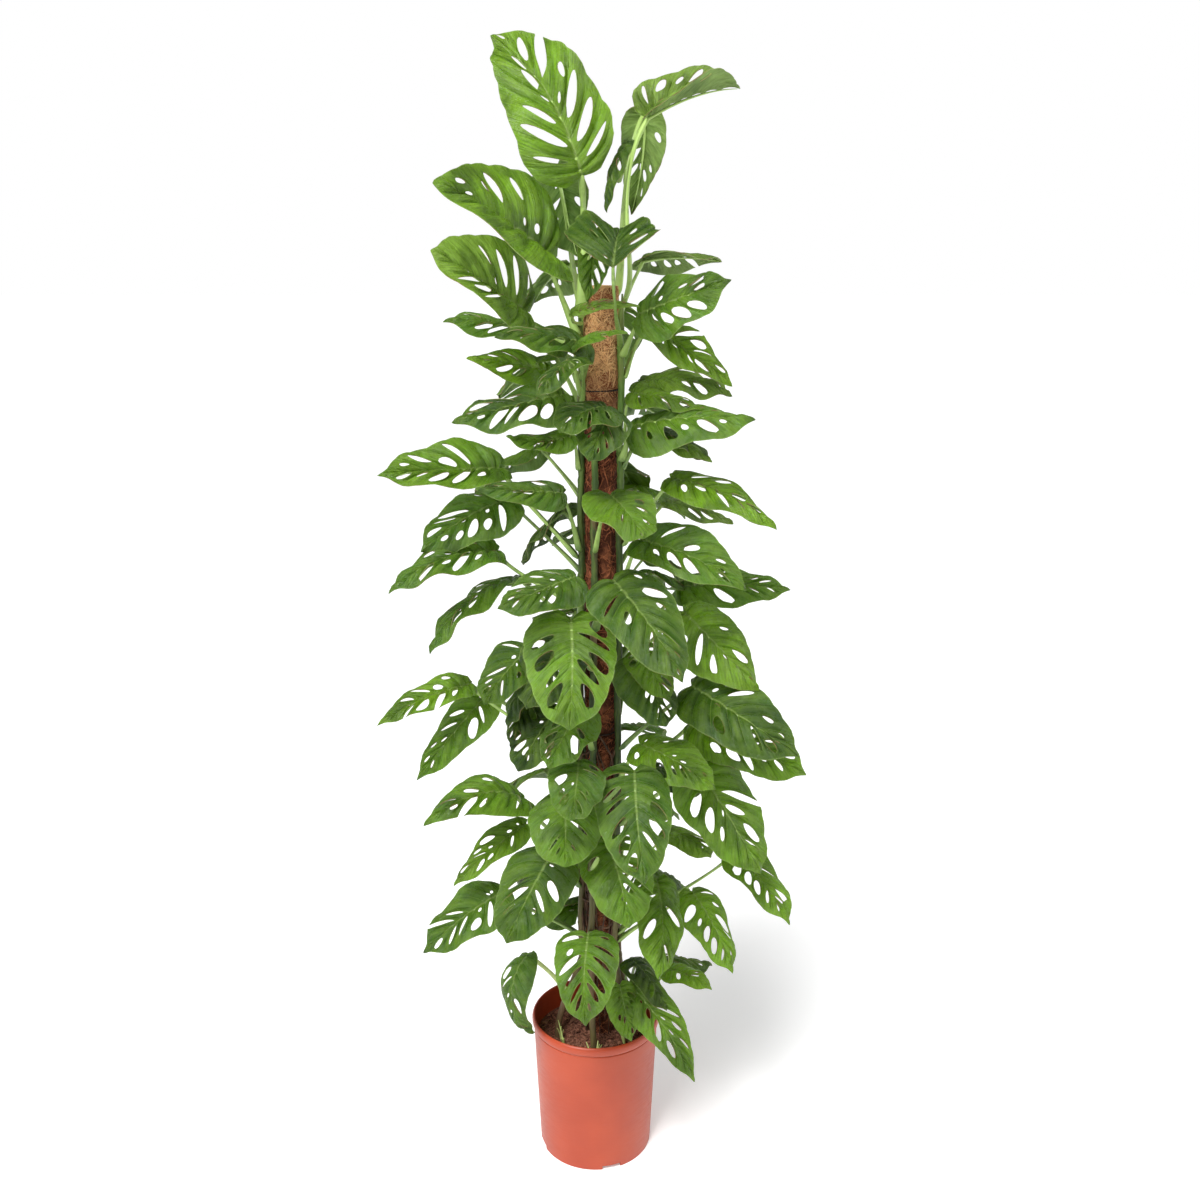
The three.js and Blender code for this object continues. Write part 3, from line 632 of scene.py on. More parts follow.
def pot_finish():
    """Moulded plastic: terracotta orange with a dull sheen, slightly clouded, with a fine grain
    and faint scuffs that run round it."""
    f = Finish("pot_terracotta_plastic")
    point = f.place()
    color = f.mix(f.patches(point, 9, 3, 0.3, 0.7), (0.345, 0.041, 0.01), (0.4, 0.052, 0.013))
    scuff = f.noise(f.place(9), 42, 4, 0.7)
    color = f.mix(f.remap(scuff, 0.62, 0.78, 0.0, 0.35), color, (0.47, 0.1, 0.045))
    rough = f.remap(scuff, 0.3, 0.75, 0.36, 0.52)
    return f.surface(color, rough, f.bump(f.noise(point, 1500, 2), 0.00008, 0.35))


def wood_finish():
    """Raw softwood with grain along the stake."""
    f = Finish("stake_softwood")
    grain = f.noise(f.place(0.05), 420, 4, 0.6)
    color = f.mix(f.remap(grain, 0.35, 0.65), (0.2, 0.11, 0.05), (0.4, 0.26, 0.13))
    return f.surface(color, 0.75, f.bump(grain, 0.0006, 0.6))


def floor_finish():
    """A pale matt floor that glows a little."""
    f = Finish("studio_floor")
    f.shader.inputs["Emission Color"].default_value = (1, 1, 1, 1)
    f.shader.inputs["Emission Strength"].default_value = 0.22
    return f.surface((0.93, 0.93, 0.93), 1.0, specular=0.0)


# ---- The pot ----


def pot_profile():
    """The pot's section by radius and height: the floor's underside, the foot ring, the wall, the
    rolled rim, half an ellipse outside and a quarter of one inside, the inner wall and the floor."""
    wall_top, floor_top = POT_HEIGHT - LIP_HEIGHT, FLOOR_Z + FLOOR
    throat = LIP_RADIUS - LIP_BULGE

    def outer(height):
        return WALL_FOOT_RADIUS + (WALL_TOP_RADIUS - WALL_FOOT_RADIUS) * height / wall_top

    def inner(height):
        return outer(height) - WALL

    curl = radians(linspace(-90, 180, 22))
    bulge = np.where(curl < pi / 2, LIP_BULGE, LIP_INSIDE) * cos(curl)
    lip = np.stack([throat + bulge, POT_HEIGHT - LIP_HALF + LIP_HALF * sin(curl)], -1)
    wall = [(outer(z), z) for z in linspace(0.012, wall_top - 0.001, 14)]
    back = [(inner(z), z) for z in linspace(wall_top - 0.006, floor_top + 0.004, 12)]
    return np.array(
        [(0, FLOOR_Z), (FLOOR_MIDDLE, FLOOR_Z), (inner(FLOOR_Z) - 0.003, FLOOR_Z)]
        + [(inner(0) - 0.0016, 0.0006), (inner(0) - 0.001, 0), (WALL_FOOT_RADIUS - 0.001, 0)]
        + [(WALL_FOOT_RADIUS - 0.0002, 0.0008), (outer(0.004), 0.004)]
        + wall
        + [(outer(wall_top) - 0.0002, wall_top + 0.0006), (throat, wall_top + 0.0016)]
        + lip.tolist()
        + [(throat - LIP_INSIDE, wall_top + 0.004)]
        + back
        + [(inner(floor_top) - 0.004, floor_top), (FLOOR_MIDDLE, floor_top), (0, floor_top)]
    )


def make_pot():
    """The profile turned about +Z. The foot ring's lowest points rise to the slot height within
    each slot's bearings, and drain holes are cut through the floor."""
    half_slot = np.degrees(SLOT_WIDTH / 2 / WALL_FOOT_RADIUS)
    sides = [b + s * half_slot + e for b in SLOT_BEARINGS for s in (-1, 1) for e in (-0.06, 0.06)]
    bearings = np.unique(np.concatenate([np.arange(0, 360, 2.5), np.mod(sides, 360)]))
    away = np.abs((bearings[:, None] - np.array(SLOT_BEARINGS) + 180) % 360 - 180).min(1)
    radius, height = pot_profile().T[..., None]
    points = direction(bearings) * radius[..., None]
    points[..., 2] = np.where((away < half_slot) & (height < SLOT_HEIGHT), SLOT_HEIGHT, height)
    batch = Batch()
    batch.rings(points)
    bore_drains(batch.piece("nursery_pot", [pot_finish()], ["pot"], crease=38))


def bore_drains(pot):
    """Cuts a ring of round holes through the pot's floor."""
    holes = Batch()
    for i in range(DRAIN_COUNT):
        middle = direction((i + 0.5) * 360 / DRAIN_COUNT) * DRAIN_RING
        path = middle + np.array([0, 0, 1]) * linspace(0.004, 0.020, 5)[:, None]
        holes.rod(path, (1, 0, 0), DRAIN_RADIUS, DRAIN_RADIUS, 24)
    cutter = placed("drain_cutter", holes.mesh("drain_cutter"))
    cut = pot.modifiers.new("drain_holes", "BOOLEAN")
    cut.object = cutter
    cut.operation = "DIFFERENCE"
    bpy.context.view_layer.update()
    bored = bpy.data.meshes.new_from_object(pot.evaluated_get(bpy.context.evaluated_depsgraph_get()))
    pot.modifiers.clear()
    pot.data = bored
    bpy.data.objects.remove(cutter)


# ---- The soil ----


def soil_height(x, y):
    """The mound's height without its lumps. It falls by a smooth step from the crown to the wall."""
    share = smooth((np.hypot(x, y) - SOIL_FLAT) / (SOIL_REACH - SOIL_FLAT))
    return SOIL_CROWN_Z - 0.002 - (SOIL_CROWN_Z - SOIL_EDGE_Z) * share


def make_soil():
    """A plug of soil. Its top is rings of points at the mound's height, with three sizes of lumps
    that fade out at the wall, and a skirt and a floor close it."""
    radius = linspace(0, SOIL_REACH, 70)[1:, None]
    top = direction(np.arange(0, 360, 2)) * radius[..., None]
    rough = 0.0045 * lumps(top, 0.016, 1) + 0.003 * lumps(top, 0.006, 2) + 0.0018 * lumps(top, 0.0028, 3)
    top[..., 2] = soil_height(top[..., 0], top[..., 1]) + rough * smooth((SOIL_REACH - radius) / 0.006)
    foot = top[-1:] * [SOIL_TAPER, SOIL_TAPER, 0] + [0, 0, SOIL_FOOT_Z]
    ends = [np.zeros_like(foot) + [0, 0, z] for z in (SOIL_CROWN_Z, SOIL_FOOT_Z)]
    rings = np.concatenate([ends[0], top, foot, ends[1]])[::-1]
    tint = np.clip(0.25 + 0.6 * lumps(rings.reshape(-1, 3), 0.004, 5), 0, 1) * 0.4
    batch = Batch()
    batch.rings(rings, tint=tint)
    batch.piece("soil_mound", [SOIL], ["soil"])


def make_crumbs():
    """Loose crumbs of bark and short strands on the soil. A crumb is a flattened ball of six
    columns and four rows of points with uneven radii. A strand is a bent rod."""
    draw = np.random.default_rng(11)
    batch = Batch()
    lift = np.array([-90, -30, 30, 90])[:, None]
    for _ in range(CRUMBS):
        reach, bearing = 0.108 * np.sqrt(draw.uniform(0.02, 1)), draw.uniform(0, 360)
        x, y, _z = direction(bearing) * reach
        size = draw.uniform(0.0016, 0.0048)
        shape = draw.uniform(0.6, 1.3, 3) * np.array([1.2, 0.9, 0.6]) * size
        uneven = 1 + 0.25 * draw.standard_normal((4, 6, 1)) * (np.abs(lift) < 90)[..., None]
        ball = direction(np.arange(90, 450, 60), lift) * uneven * shape
        spin = radians(draw.uniform(0, 360))
        turned = np.array([[cos(spin), sin(spin), 0], [-sin(spin), cos(spin), 0], [0, 0, 1]])
        ball = ball @ turned + np.array([x, y, soil_height(x, y) + 0.0012])
        batch.rings(ball, tint=draw.uniform(0, 0.7))
    along = linspace(-0.5, 0.5, 5)[:, None]
    for _ in range(SOIL_STRANDS):
        reach, bearing = 0.104 * np.sqrt(draw.uniform(0.02, 1)), draw.uniform(0, 360)
        heading, length = draw.uniform(0, 360), draw.uniform(0.008, 0.026)
        bend = draw.uniform(-0.5, 0.5)
        path = direction(bearing) * reach + direction(heading) * along * length
        path = path + direction(heading + 90) * along**2 * length * bend
        path[:, 2] = soil_height(path[:, 0], path[:, 1]) + 0.0022 + 0.0025 * draw.uniform(-0.3, 1, 5)
        if np.hypot(path[:, 0], path[:, 1]).max() < 0.111:
            thick = draw.uniform(0.00025, 0.0006)
            batch.rod(path, (0.3, 0.2, 1), thick, thick, 4, tint=draw.uniform(0.3, 1))
    batch.piece("soil_crumbs", [SOIL])


def make_shoots():
    """Young shoots in the soil: by each place a few bent rods that thin towards their tips."""
    draw = np.random.default_rng(31)
    batch = Batch()
    along = linspace(0, 1, 9)
    for x, y in SHOOTS:
        for _ in range(3):
            bearing, tall = draw.uniform(0, 360), draw.uniform(0.018, 0.046)
            lean = draw.uniform(0.15, 0.5) * tall
            path = np.array([x, y, 0]) + direction(bearing) * (lean * along**1.6)[:, None]
            path[:, 2] = soil_height(x, y) - 0.004 + tall * along
            thick = (0.0026 - 0.0018 * along**1.5) * draw.uniform(0.7, 1.1)
            tone = draw.uniform(1.3, 2)
            batch.rod(path, (0.3, 1, 0.1), thick, thick, 7, u=0, v=0, tone=tone)
    batch.piece("soil_shoots", [STALK])


# ---- The pole ----


def around_pole(bearing, reach, height):
    """A point by bearing and reach from the pole's axis, and height. The three may be arrays."""
    point = direction(bearing) * np.asarray(reach)[..., None] + POLE
    point[..., 2] = height
    return point


def make_coir():
    """The sleeve: a tube about the pole's axis. The outer radius has lumps in two sizes, and dips
    a little under each cord. The top rounds over into the bore."""
    columns = np.arange(0, 360, 4)
    shoulder = COIR_TOP - 0.006
    z, bearing = np.meshgrid(linspace(COIR_FOOT, shoulder, COIR_RINGS), columns, indexing="ij")
    base = around_pole(bearing, COIR_RADIUS, z)
    dip = sum(0.0012 * bell(z - height, 0.006) for height in BINDINGS.values())
    rough = 0.0011 * lumps(base, 0.018, 4) + 0.001 * lumps(base * [1, 1, 0.4], 0.005, 5)
    radius = COIR_RADIUS - 0.0014 - dip + rough
    outer = around_pole(bearing, radius, z)
    bore = STAKE_RADIUS + 0.0004
    middle = (radius[-1] + bore) / 2
    turn = radians(linspace(15, 165, 7))[:, None]
    top = around_pole(columns, middle + (radius[-1] - middle) * cos(turn), shoulder + 0.005 * sin(turn))
    down = np.array([1.6, 1.2, 0.6, COIR_FOOT + 0.001])[:, None]
    inner = around_pole(columns, bore + 0 * down, down)
    rings = np.concatenate([outer, top, inner, outer[:1]])
    tint = np.clip(0.2 + 0.5 * lumps(rings.reshape(-1, 3) * [1, 1, 0.5], 0.007, 6), 0, 1)
    batch = Batch()
    batch.rings(rings, tint=tint)
    batch.piece("coir_sleeve", [COIR], ["pole_coir"])


def make_fibres():
    """Loose strands on the sleeve, a third of them near its top, each a rod with three sides. A
    strand starts anywhere and runs at any slope, bowed sideways and lifted off the sleeve in the
    middle. A few more lie round on the top."""
    draw = np.random.default_rng(5)
    batch = Batch()
    along = linspace(0, 1, 7)
    arch = sin(pi * along)
    for i in range(COIR_STRANDS):
        height = draw.uniform(STRANDS_FROM, COIR_TOP - 0.006)
        if i % 3 == 0:
            height = draw.uniform(CROWN_FROM, COIR_TOP - 0.004)
        length = draw.uniform(0.012, 0.045)
        slope = radians(draw.uniform(-90, 90) if draw.random() < 0.6 else draw.uniform(-35, 35))
        sweep = np.degrees(length * cos(slope) / COIR_RADIUS)
        bow = draw.uniform(-22, 22) * arch
        bearing = draw.uniform(0, 360) + sweep * along + bow
        lift = draw.uniform(-0.0006, 0.003) * arch + draw.uniform(-0.0008, 0.0006)
        curl = draw.uniform(-0.009, 0.009) * sin(2 * pi * along + draw.uniform(0, 6))
        z = np.clip(height + length * sin(slope) * along + curl, 0.23, COIR_TOP - 0.001)
        path = around_pole(bearing, COIR_RADIUS - 0.0006 + lift, z)
        thick = draw.uniform(0.00035, 0.00105)
        tint = np.clip(draw.choice([0.0, 0.75, 1.0]) + draw.normal(0, 0.12), 0, 1)
        batch.rod(path, (0.31, 0.22, 0.92), thick, thick, 3, tint=tint)
    for _ in range(CROWN_STRANDS):
        bearing, reach = draw.uniform(0, 360), draw.uniform(0.012, 0.024)
        turn = bearing + draw.uniform(-120, 120) * along
        path = around_pole(turn, reach + 0.004 * along, COIR_TOP - 0.003 + 0.0025 * arch)
        batch.rod(path, (0.2, 0.1, 1), 0.0004, 0.0004, 3, tint=draw.uniform(0.4, 1))
    batch.piece("coir_strands", [COIR])


def make_bindings():
    """A cord ring of two strands laid round each other: its section's radius swells twice round
    the section, and the swelling turns as it goes round the pole."""
    for name, height in BINDINGS.items():
        turn, section = linspace(0, 360, 180, endpoint=False), radians(np.arange(0, 360, 45))
        around, angle = np.meshgrid(turn, section, indexing="ij")
        thick = BINDING_RADIUS * (1 + 0.22 * cos(2 * angle + radians(around) * 34))
        tilt = 0.0012 * sin(radians(around + 40 * height))
        reach = COIR_RADIUS + BINDING_RADIUS + 0.0001 + thick * cos(angle)
        points = around_pole(around, reach, height + tilt + thick * sin(angle))
        batch = Batch()
        batch.rings(np.concatenate([points, points[:1]]), -1)
        batch.piece(name + "_cord", [CORD], [name])


# ---- The stems ----


def from_pole(path):
    """The level unit vectors from the pole's axis to the points of a path."""
    return unit((path - POLE) * [1, 1, 0])


def stem_line(name, height):
    """A stem's middle line at some heights. It leans from its foot in to the pole by a smooth
    step over the lean, then climbs at one reach while its bearing turns evenly."""
    foot_bearing, foot_reach, low, high, top = STEMS[name]
    risen = np.asarray(height) - SOIL_CROWN_Z
    lean = smooth(risen / STEM_LEAN)
    climb = np.clip((risen - STEM_LEAN) / (top - SOIL_CROWN_Z - STEM_LEAN), 0, 1)
    bearing = foot_bearing + (low - foot_bearing) * lean + (high - low) * climb
    return around_pole(bearing, foot_reach + (STEM_RING - foot_reach) * lean, height)


def make_stem(name, nodes):
    """A rod along the stem's line with a slight wander. It swells at the nodes, where petioles
    leave it, has a groove above each, and narrows to a growing tip."""
    top = STEMS[name][-1]
    height = linspace(STEM_FOOT, top, 420)
    wander = 0.0012 * np.stack([sin(height * 41 + len(name)), cos(height * 33), 0 * height], -1)
    path = stem_line(name, height) + wander * smooth((height - 0.3) / 0.1)[:, None]
    above = height[:, None] - np.concatenate([nodes, np.arange(0.3, top, 0.083)])
    swell, groove = bell(above, 0.0045).max(1), bell(above - 0.007, 0.002).max(1)
    radius = (STEM_RADIUS - 0.0006) * (1 + 0.15 * swell - 0.1 * groove)
    radius = radius * (0.25 + 0.75 * smooth((top - height) / 0.05)) * (1 - 0.1 * smooth(height - 0.6))
    batch = Batch()
    batch.rod(path, from_pole(path), radius, radius, 14)
    batch.piece("climbing_" + name, [STEM], ["stem_" + name])


def make_roots():
    """Aerial roots. From a node on a stem a root turns on to the sleeve and follows it down or
    round, wandering. Its reach settles from the stem's side to the sleeve's surface."""
    draw = np.random.default_rng(23)
    batch = Batch()
    along = linspace(0, 1, 26)
    for i in range(AERIAL_ROOTS):
        name = list(STEMS)[i % len(STEMS)]
        highest = 0.95 if i % 5 != 4 else STEMS[name][-1] - 0.12
        height = draw.uniform(0.4, highest)
        start = stem_line(name, height) - POLE
        bearing = np.degrees(np.arctan2(start[0], -start[1]))
        drop = draw.uniform(0.08, 0.42) if draw.random() < 0.7 else draw.uniform(0, 0.05)
        sweep = draw.choice([-1, 1]) * draw.uniform(18, 75)
        z = height - drop * along + 0.003 * sin(along * draw.uniform(8, 20) + i)
        turn = bearing + sweep * smooth(along * 1.8) + 5 * sin(along * draw.uniform(5, 12) + i)
        lie = COIR_RADIUS + 0.0004 + draw.choice([0.0, 0.004, 0.008])
        reach = STEM_RING + (lie - STEM_RING) * smooth(along * 6)
        keep = z > ROOTS_END
        if keep.sum() < 6:
            continue
        path = around_pole(turn, reach, z)[keep]
        thick = draw.uniform(0.001, 0.0026) * (1 - 0.55 * along[keep])
        batch.rod(path, from_pole(path), thick, thick, 7)
    batch.piece("aerial_roots", [ROOT])


# ---- The leaves ----


def read_leaf(row):
    """A leaf's frame. The junction of petiole and blade lies at a bearing and reach from the pole.
    "Along" points to the tip. The normal is the direction that the blade looks to, made square to
    it, and "across" is their cross product."""
    name, stem, *numbers = row.split()
    height, bearing, reach, rise, length, heading, dip, *shape = map(float, numbers)
    look, tilt, breadth, droop, tone, fold = shape
    along, facing = direction(heading, -dip), direction(look, tilt)
    normal = unit(facing - along * (facing @ along))
    return SimpleNamespace(
        name=name,
        stem=stem,
        junction=around_pole(bearing, reach / 1000, height / 1000),
        leaves_at=(height - rise) / 1000,
        length=length / 1000 * BLADE_SHARE,
        along=along,
        normal=normal,
        across=np.cross(normal, along),
        breadth=breadth,
        droop=radians(droop),
        tone=tone,
        fold=radians(fold),
    )


def uneven_pair(i):
    """Two fractions for a number, which never repeat: parts of its multiples of 0.618 and 0.371."""
    return (i * 0.618) % 1, (i * 0.371) % 1


def rear_row(i):
    """A row for a leaf at the back."""
    spread, size = uneven_pair(i)
    stem, side = ("rear_left", -1) if i % 2 else ("rear_right", 1)
    bearing = side * (124 + 52 * spread)
    heading = bearing - 15 + 30 * size
    tone = 0.8 * ((i * 0.23) % 1) - 0.4
    return (
        f"back_leaf_{i + 1:02d} {stem} {REAR_LOWEST + i * REAR_STEP} {bearing} {85 + 55 * size} 85 "
        f"{165 + 45 * spread} {heading} {15 + 25 * size} {bearing} 45 0.62 25 {tone} -7"
    )


def inner_row(i):
    """A row for a small leaf close to the pole, with a dark tone that is painted shade."""
    spread, size = uneven_pair(i)
    bearing = 62 + 236 * spread
    bearing = bearing if bearing < 180 else bearing - 360
    stem = "right" if bearing > 0 else "left"
    stem = "rear_" + stem if abs(bearing) > 100 else stem
    return (
        f"inner_leaf_{i + 1:02d} {stem} {INNER_LOWEST + i * INNER_STEP} {bearing} {66 + 24 * size} 70 "
        f"{115 + 45 * spread} {bearing - 25 + 50 * size} {28 + 26 * spread} {bearing} 42 0.68 25 -0.85 -4"
    )


def hole_kinds(name, size, draw):
    """A kind of hole for each strip on both sides of the midrib. Short leaves have fewer."""
    if name in SET_HOLES:
        return np.array([[KINDS.index(letter) for letter in side] for side in SET_HOLES[name]])
    odds = HOLE_ODDS.astype(float)
    odds[:, 0] += np.clip(3.5 * (0.19 / size) ** 2 - 2, 0, 6) + draw.uniform(0, 1.5)
    reached = np.cumsum(odds / odds.sum(1, keepdims=True), axis=1)
    return (draw.random((2, STRIPS, 1)) > reached).sum(-1)


def blade_cells(name, size, draw):
    """The places of a blade's points, as arrays over two sides, eight strips between side veins,
    18 rows from midrib to margin and 6 columns from vein to vein.

    A strip is split along the middle of its holes into two bands of three columns. A row's opening
    pushes the bands apart: it follows an ellipse along the small hole near the midrib, and again
    along the main one, and is nil elsewhere, where the bands meet. A torn hole stays open to the
    margin. The rows' shares of the way to the margin blend from each strip's own in the middle to
    the mean of both neighbours' on the vein between them."""
    shape = (2, STRIPS, 1)
    kinds = hole_kinds(name, size, draw)
    ranges = np.array([values[:4] for values in HOLES.values()])[kinds]
    chosen = draw.uniform(ranges[..., 0], ranges[..., 1])
    slit_half, hole_from, hole_to, hole_half = np.moveaxis(chosen, -1, 0)[..., None]
    point, torn = np.array([values[4:] for values in HOLES.values()])[kinds].transpose(2, 0, 1)[..., None]
    torn = torn > 0
    slit_from = draw.uniform(0.08, 0.14, shape)
    slit_to = np.minimum(slit_from + draw.uniform(0.1, 0.18, shape), hole_from - 0.04)
    slit_from = np.maximum(np.minimum(slit_from, slit_to - 0.03), 0.004)
    middle = 0.5 + draw.uniform(-0.4, 0.4, shape) * (0.9 - 2 * hole_half)
    slit_turn, hole_turn = linspace(0, pi, SLIT_ROWS + 1), linspace(0, pi, HOLE_ROWS + 1)
    slit_step, hole_step = (1 - cos(slit_turn)) / 2, (1 - cos(hole_turn)) / 2
    tear_step = linspace(0, 1, HOLE_ROWS + 1)
    skew = draw.uniform(-0.35, 0.35, shape) * (2 * hole_step - 1)
    hole_round = sin(hole_turn).clip(0) ** point * (1 + skew)
    tear_round = sin(pi / 2 * np.minimum(tear_step / 0.6, 1)) * (1 - 0.35 * tear_step**3)
    step = np.where(torn, tear_step, hole_step)
    open_end = np.where(torn, hole_half * 0.55, 0)
    none = np.zeros(shape)
    slit = slit_from + (slit_to - slit_from) * slit_step
    hole = hole_from + (hole_to - hole_from) * step
    share = np.concatenate([none, slit, hole, (hole_to + 1) / 2, none + 1], -1)
    hole_gap = hole_half * np.where(torn, tear_round, hole_round)
    gap = np.concatenate([none, slit_half * sin(slit_turn), hole_gap, open_end, open_end], -1)
    middle = middle + 0 * share
    middle[..., 0] = 0.5
    edges = np.concatenate([share[:, :1], (share[:, 1:] + share[:, :-1]) / 2, share[:, -1:]], 1)
    out = np.array([0.0, 0.5, 1.0])
    back = out[::-1]
    near = out * (middle - gap)[..., None]
    far = 1 - back * (1 - middle - gap)[..., None]
    near_v = edges[:, :-1, :, None] * (1 - out) + share[..., None] * out
    far_v = edges[:, 1:, :, None] * (1 - back) + share[..., None] * back
    across = np.concatenate([near, far], -1)
    v = np.concatenate([near_v, far_v], -1)
    strip = np.arange(STRIPS)[None, :, None, None]
    veins = VEINS.copy()
    widths = np.diff(veins)
    veins[1:-1] += draw.uniform(-0.16, 0.16, STRIPS - 1) * np.minimum(widths[1:], widths[:-1])
    u = veins[strip] + across * (veins[strip + 1] - veins[strip])
    return u, v, strip + across, across


def blade_triangles():
    """Triangles of the cells, upper side out, on either side of the midrib."""
    rows, columns = SLIT_ROWS + HOLE_ROWS + 5, 6
    index = np.arange(2 * STRIPS * rows * columns).reshape(2, STRIPS, rows, columns)
    left, right = [0, 1, 3, 4], [1, 2, 4, 5]
    a, b = index[:, :, :-1][..., left], index[:, :, :-1][..., right]
    c, d = index[:, :, 1:][..., right], index[:, :, 1:][..., left]
    pairs = np.stack([np.stack([a, b, c], -1), np.stack([a, c, d], -1)])
    pairs[:, 0] = pairs[:, 0][..., ::-1]
    return pairs.reshape(-1, 3)


BLADE_TRIANGLES = blade_triangles()


def blade_points(leaf, u, v, side, across, draw):
    """Points of the blade's middle surface. The midrib is an arc. A side vein leaves it at u and
    ends at the margin at "end", which lies further on, and bows back on the way. The margin's half
    width falls from the lobes to the tip, and its sweep points back at the lobes and forward at
    the tip. The height above the arc adds up: the sides' fold and curl, a wave that grows to the
    margin, the rise of the tissue between two veins, and the midrib's valley."""
    length, droop = leaf.length, leaf.droop
    end = u + VEIN_LEAN * u**0.6 * (1 - u)
    shift = draw.uniform(-0.05, 0.05, 2)
    end = end + np.where(side > 0, shift[0], shift[1]) * sin(pi * end) ** 2
    at = u + (end - u) * v
    long_one = (length - LONG_BLADE[0]) / (LONG_BLADE[1] - LONG_BLADE[0])
    foot = SET_FOOT.get(leaf.name, SWEEP_FOOT + LONG_FOOT * smooth(long_one))
    sweep = radians(foot + (SWEEP_TIP - foot) * end**SWEEP_POWER)
    lobe = 1 - NOTCH_DEPTH * exp(-end / NOTCH_LENGTH)
    taper = np.maximum(1 - end**TAPER_START, 0) ** TAPER_POWER
    narrows = SET_POINT.get(leaf.name, POINT_START)
    pointed = 1 - 0.44 * smooth((end - narrows) / (1 - narrows))
    lopsided = 1 + side * draw.uniform(-0.07, 0.07)
    width = length * leaf.breadth * lobe * taper * pointed / 2 * lopsided
    waves, phase = draw.uniform(1.3, 2.8), draw.uniform(0, 2 * pi, 2)
    swing = draw.uniform(0.045, 0.105) * length * leaf.breadth * (0.35 if leaf.name in CALM else 1)
    phase = np.where(side > 0, phase[0], phase[1])
    level = v * width * cos(sweep) + 0.035 * width * v**4 * sin(pi * across)
    sideways = side * level * cos(leaf.fold)
    height = level * sin(leaf.fold) - draw.uniform(0.02, 0.24) * width * v * v
    height = height + swing * v**1.6 * taper * sin(2 * pi * waves * at + phase)
    puff = sin(pi * across).clip(0) ** 0.7 * sin(pi * (v + 0.08).clip(0, 1)).clip(0) ** 0.7
    height = height + 0.008 * puff * length / 0.2 + 0.0016 * (1 - at) * (1 - exp(-v / 0.06))
    twist = radians(draw.uniform(-22, 22)) * (at - 0.3)
    sway = draw.uniform(-0.035, 0.035)
    sway = SET_SWAY.get(leaf.name, sway) * length * sin(pi * at)
    onward = width * (v * sin(sweep) - VEIN_BOW * v * (1 - v))
    sideways, height = (
        sideways * cos(twist) - height * sin(twist) + sway,
        sideways * sin(twist) + height * cos(twist),
    )
    turn = droop * (at - 0.5)
    arc = length / (2 * sin(droop / 2))
    forward = length / 2 + (arc + height) * sin(turn) + onward * cos(turn)
    above = (arc + height) * cos(turn) - arc * cos(droop / 2) - onward * sin(turn)
    axes = np.stack([leaf.along, leaf.normal, leaf.across])
    return leaf.junction + np.stack([forward, above, sideways], -1) @ axes


def slab(points, corners, thickness):
    """A sheet given a thickness: it is moved by half of it to each side along the normals, which
    are the unit sums of the cross products of the faces round each point. A rim joins the two
    sides along every edge that only one triangle has. Returns the points, the triangles, how many
    are on either side, and the place in the sheet of each point of one side."""
    first, corners, good = welded(points, corners)
    points, corners, count = points[first], corners[good], len(first)
    a, b, c = (points[corners[:, i]] for i in range(3))
    across, normals = np.cross(b - a, c - a), np.zeros_like(points)
    for i in range(3):
        np.add.at(normals, corners[:, i], across)
    half = unit(normals) * thickness / 2
    start, end = corners.reshape(-1), np.roll(corners, -1, axis=1).reshape(-1)
    alone = ~np.isin(start * count + end, end * count + start)
    a, b = start[alone], end[alone]
    rim = np.concatenate([np.stack([b, a, a + count], -1), np.stack([b, a + count, b + count], -1)])
    faces = np.concatenate([corners, corners[:, ::-1] + count, rim])
    return np.concatenate([points + half, points - half]), faces, len(corners), first


def petiole_path(leaf):
    """The petiole's middle line: a cubic curve from inside the stem, level at first, that comes
    to the blade along a mix of up, outward, along and normal."""
    start, above = stem_line(leaf.stem, leaf.leaves_at), stem_line(leaf.stem, leaf.leaves_at + 0.001)
    tangent = unit(above - start)
    outward = (leaf.junction - start) * [1, 1, 0]
    outward = unit(outward - tangent * (outward @ tangent))
    start = start + outward * 0.004
    span = np.linalg.norm(leaf.junction - start)
    up = np.array([0, 0, 1])
    arrival = unit(0.75 * up + 0.45 * outward + 0.35 * leaf.along + 0.25 * leaf.normal)
    hold = (
        start,
        start + (outward * 0.10 + up * 0.14) * span,
        leaf.junction - arrival * PETIOLE_END * span,
        leaf.junction,
    )
    s = linspace(0, 1, 30)[:, None]
    weights = ((1 - s) ** 3, 3 * s * (1 - s) ** 2, 3 * s * s * (1 - s), s**3)
    return sum(w * p for w, p in zip(weights, hold)), outward


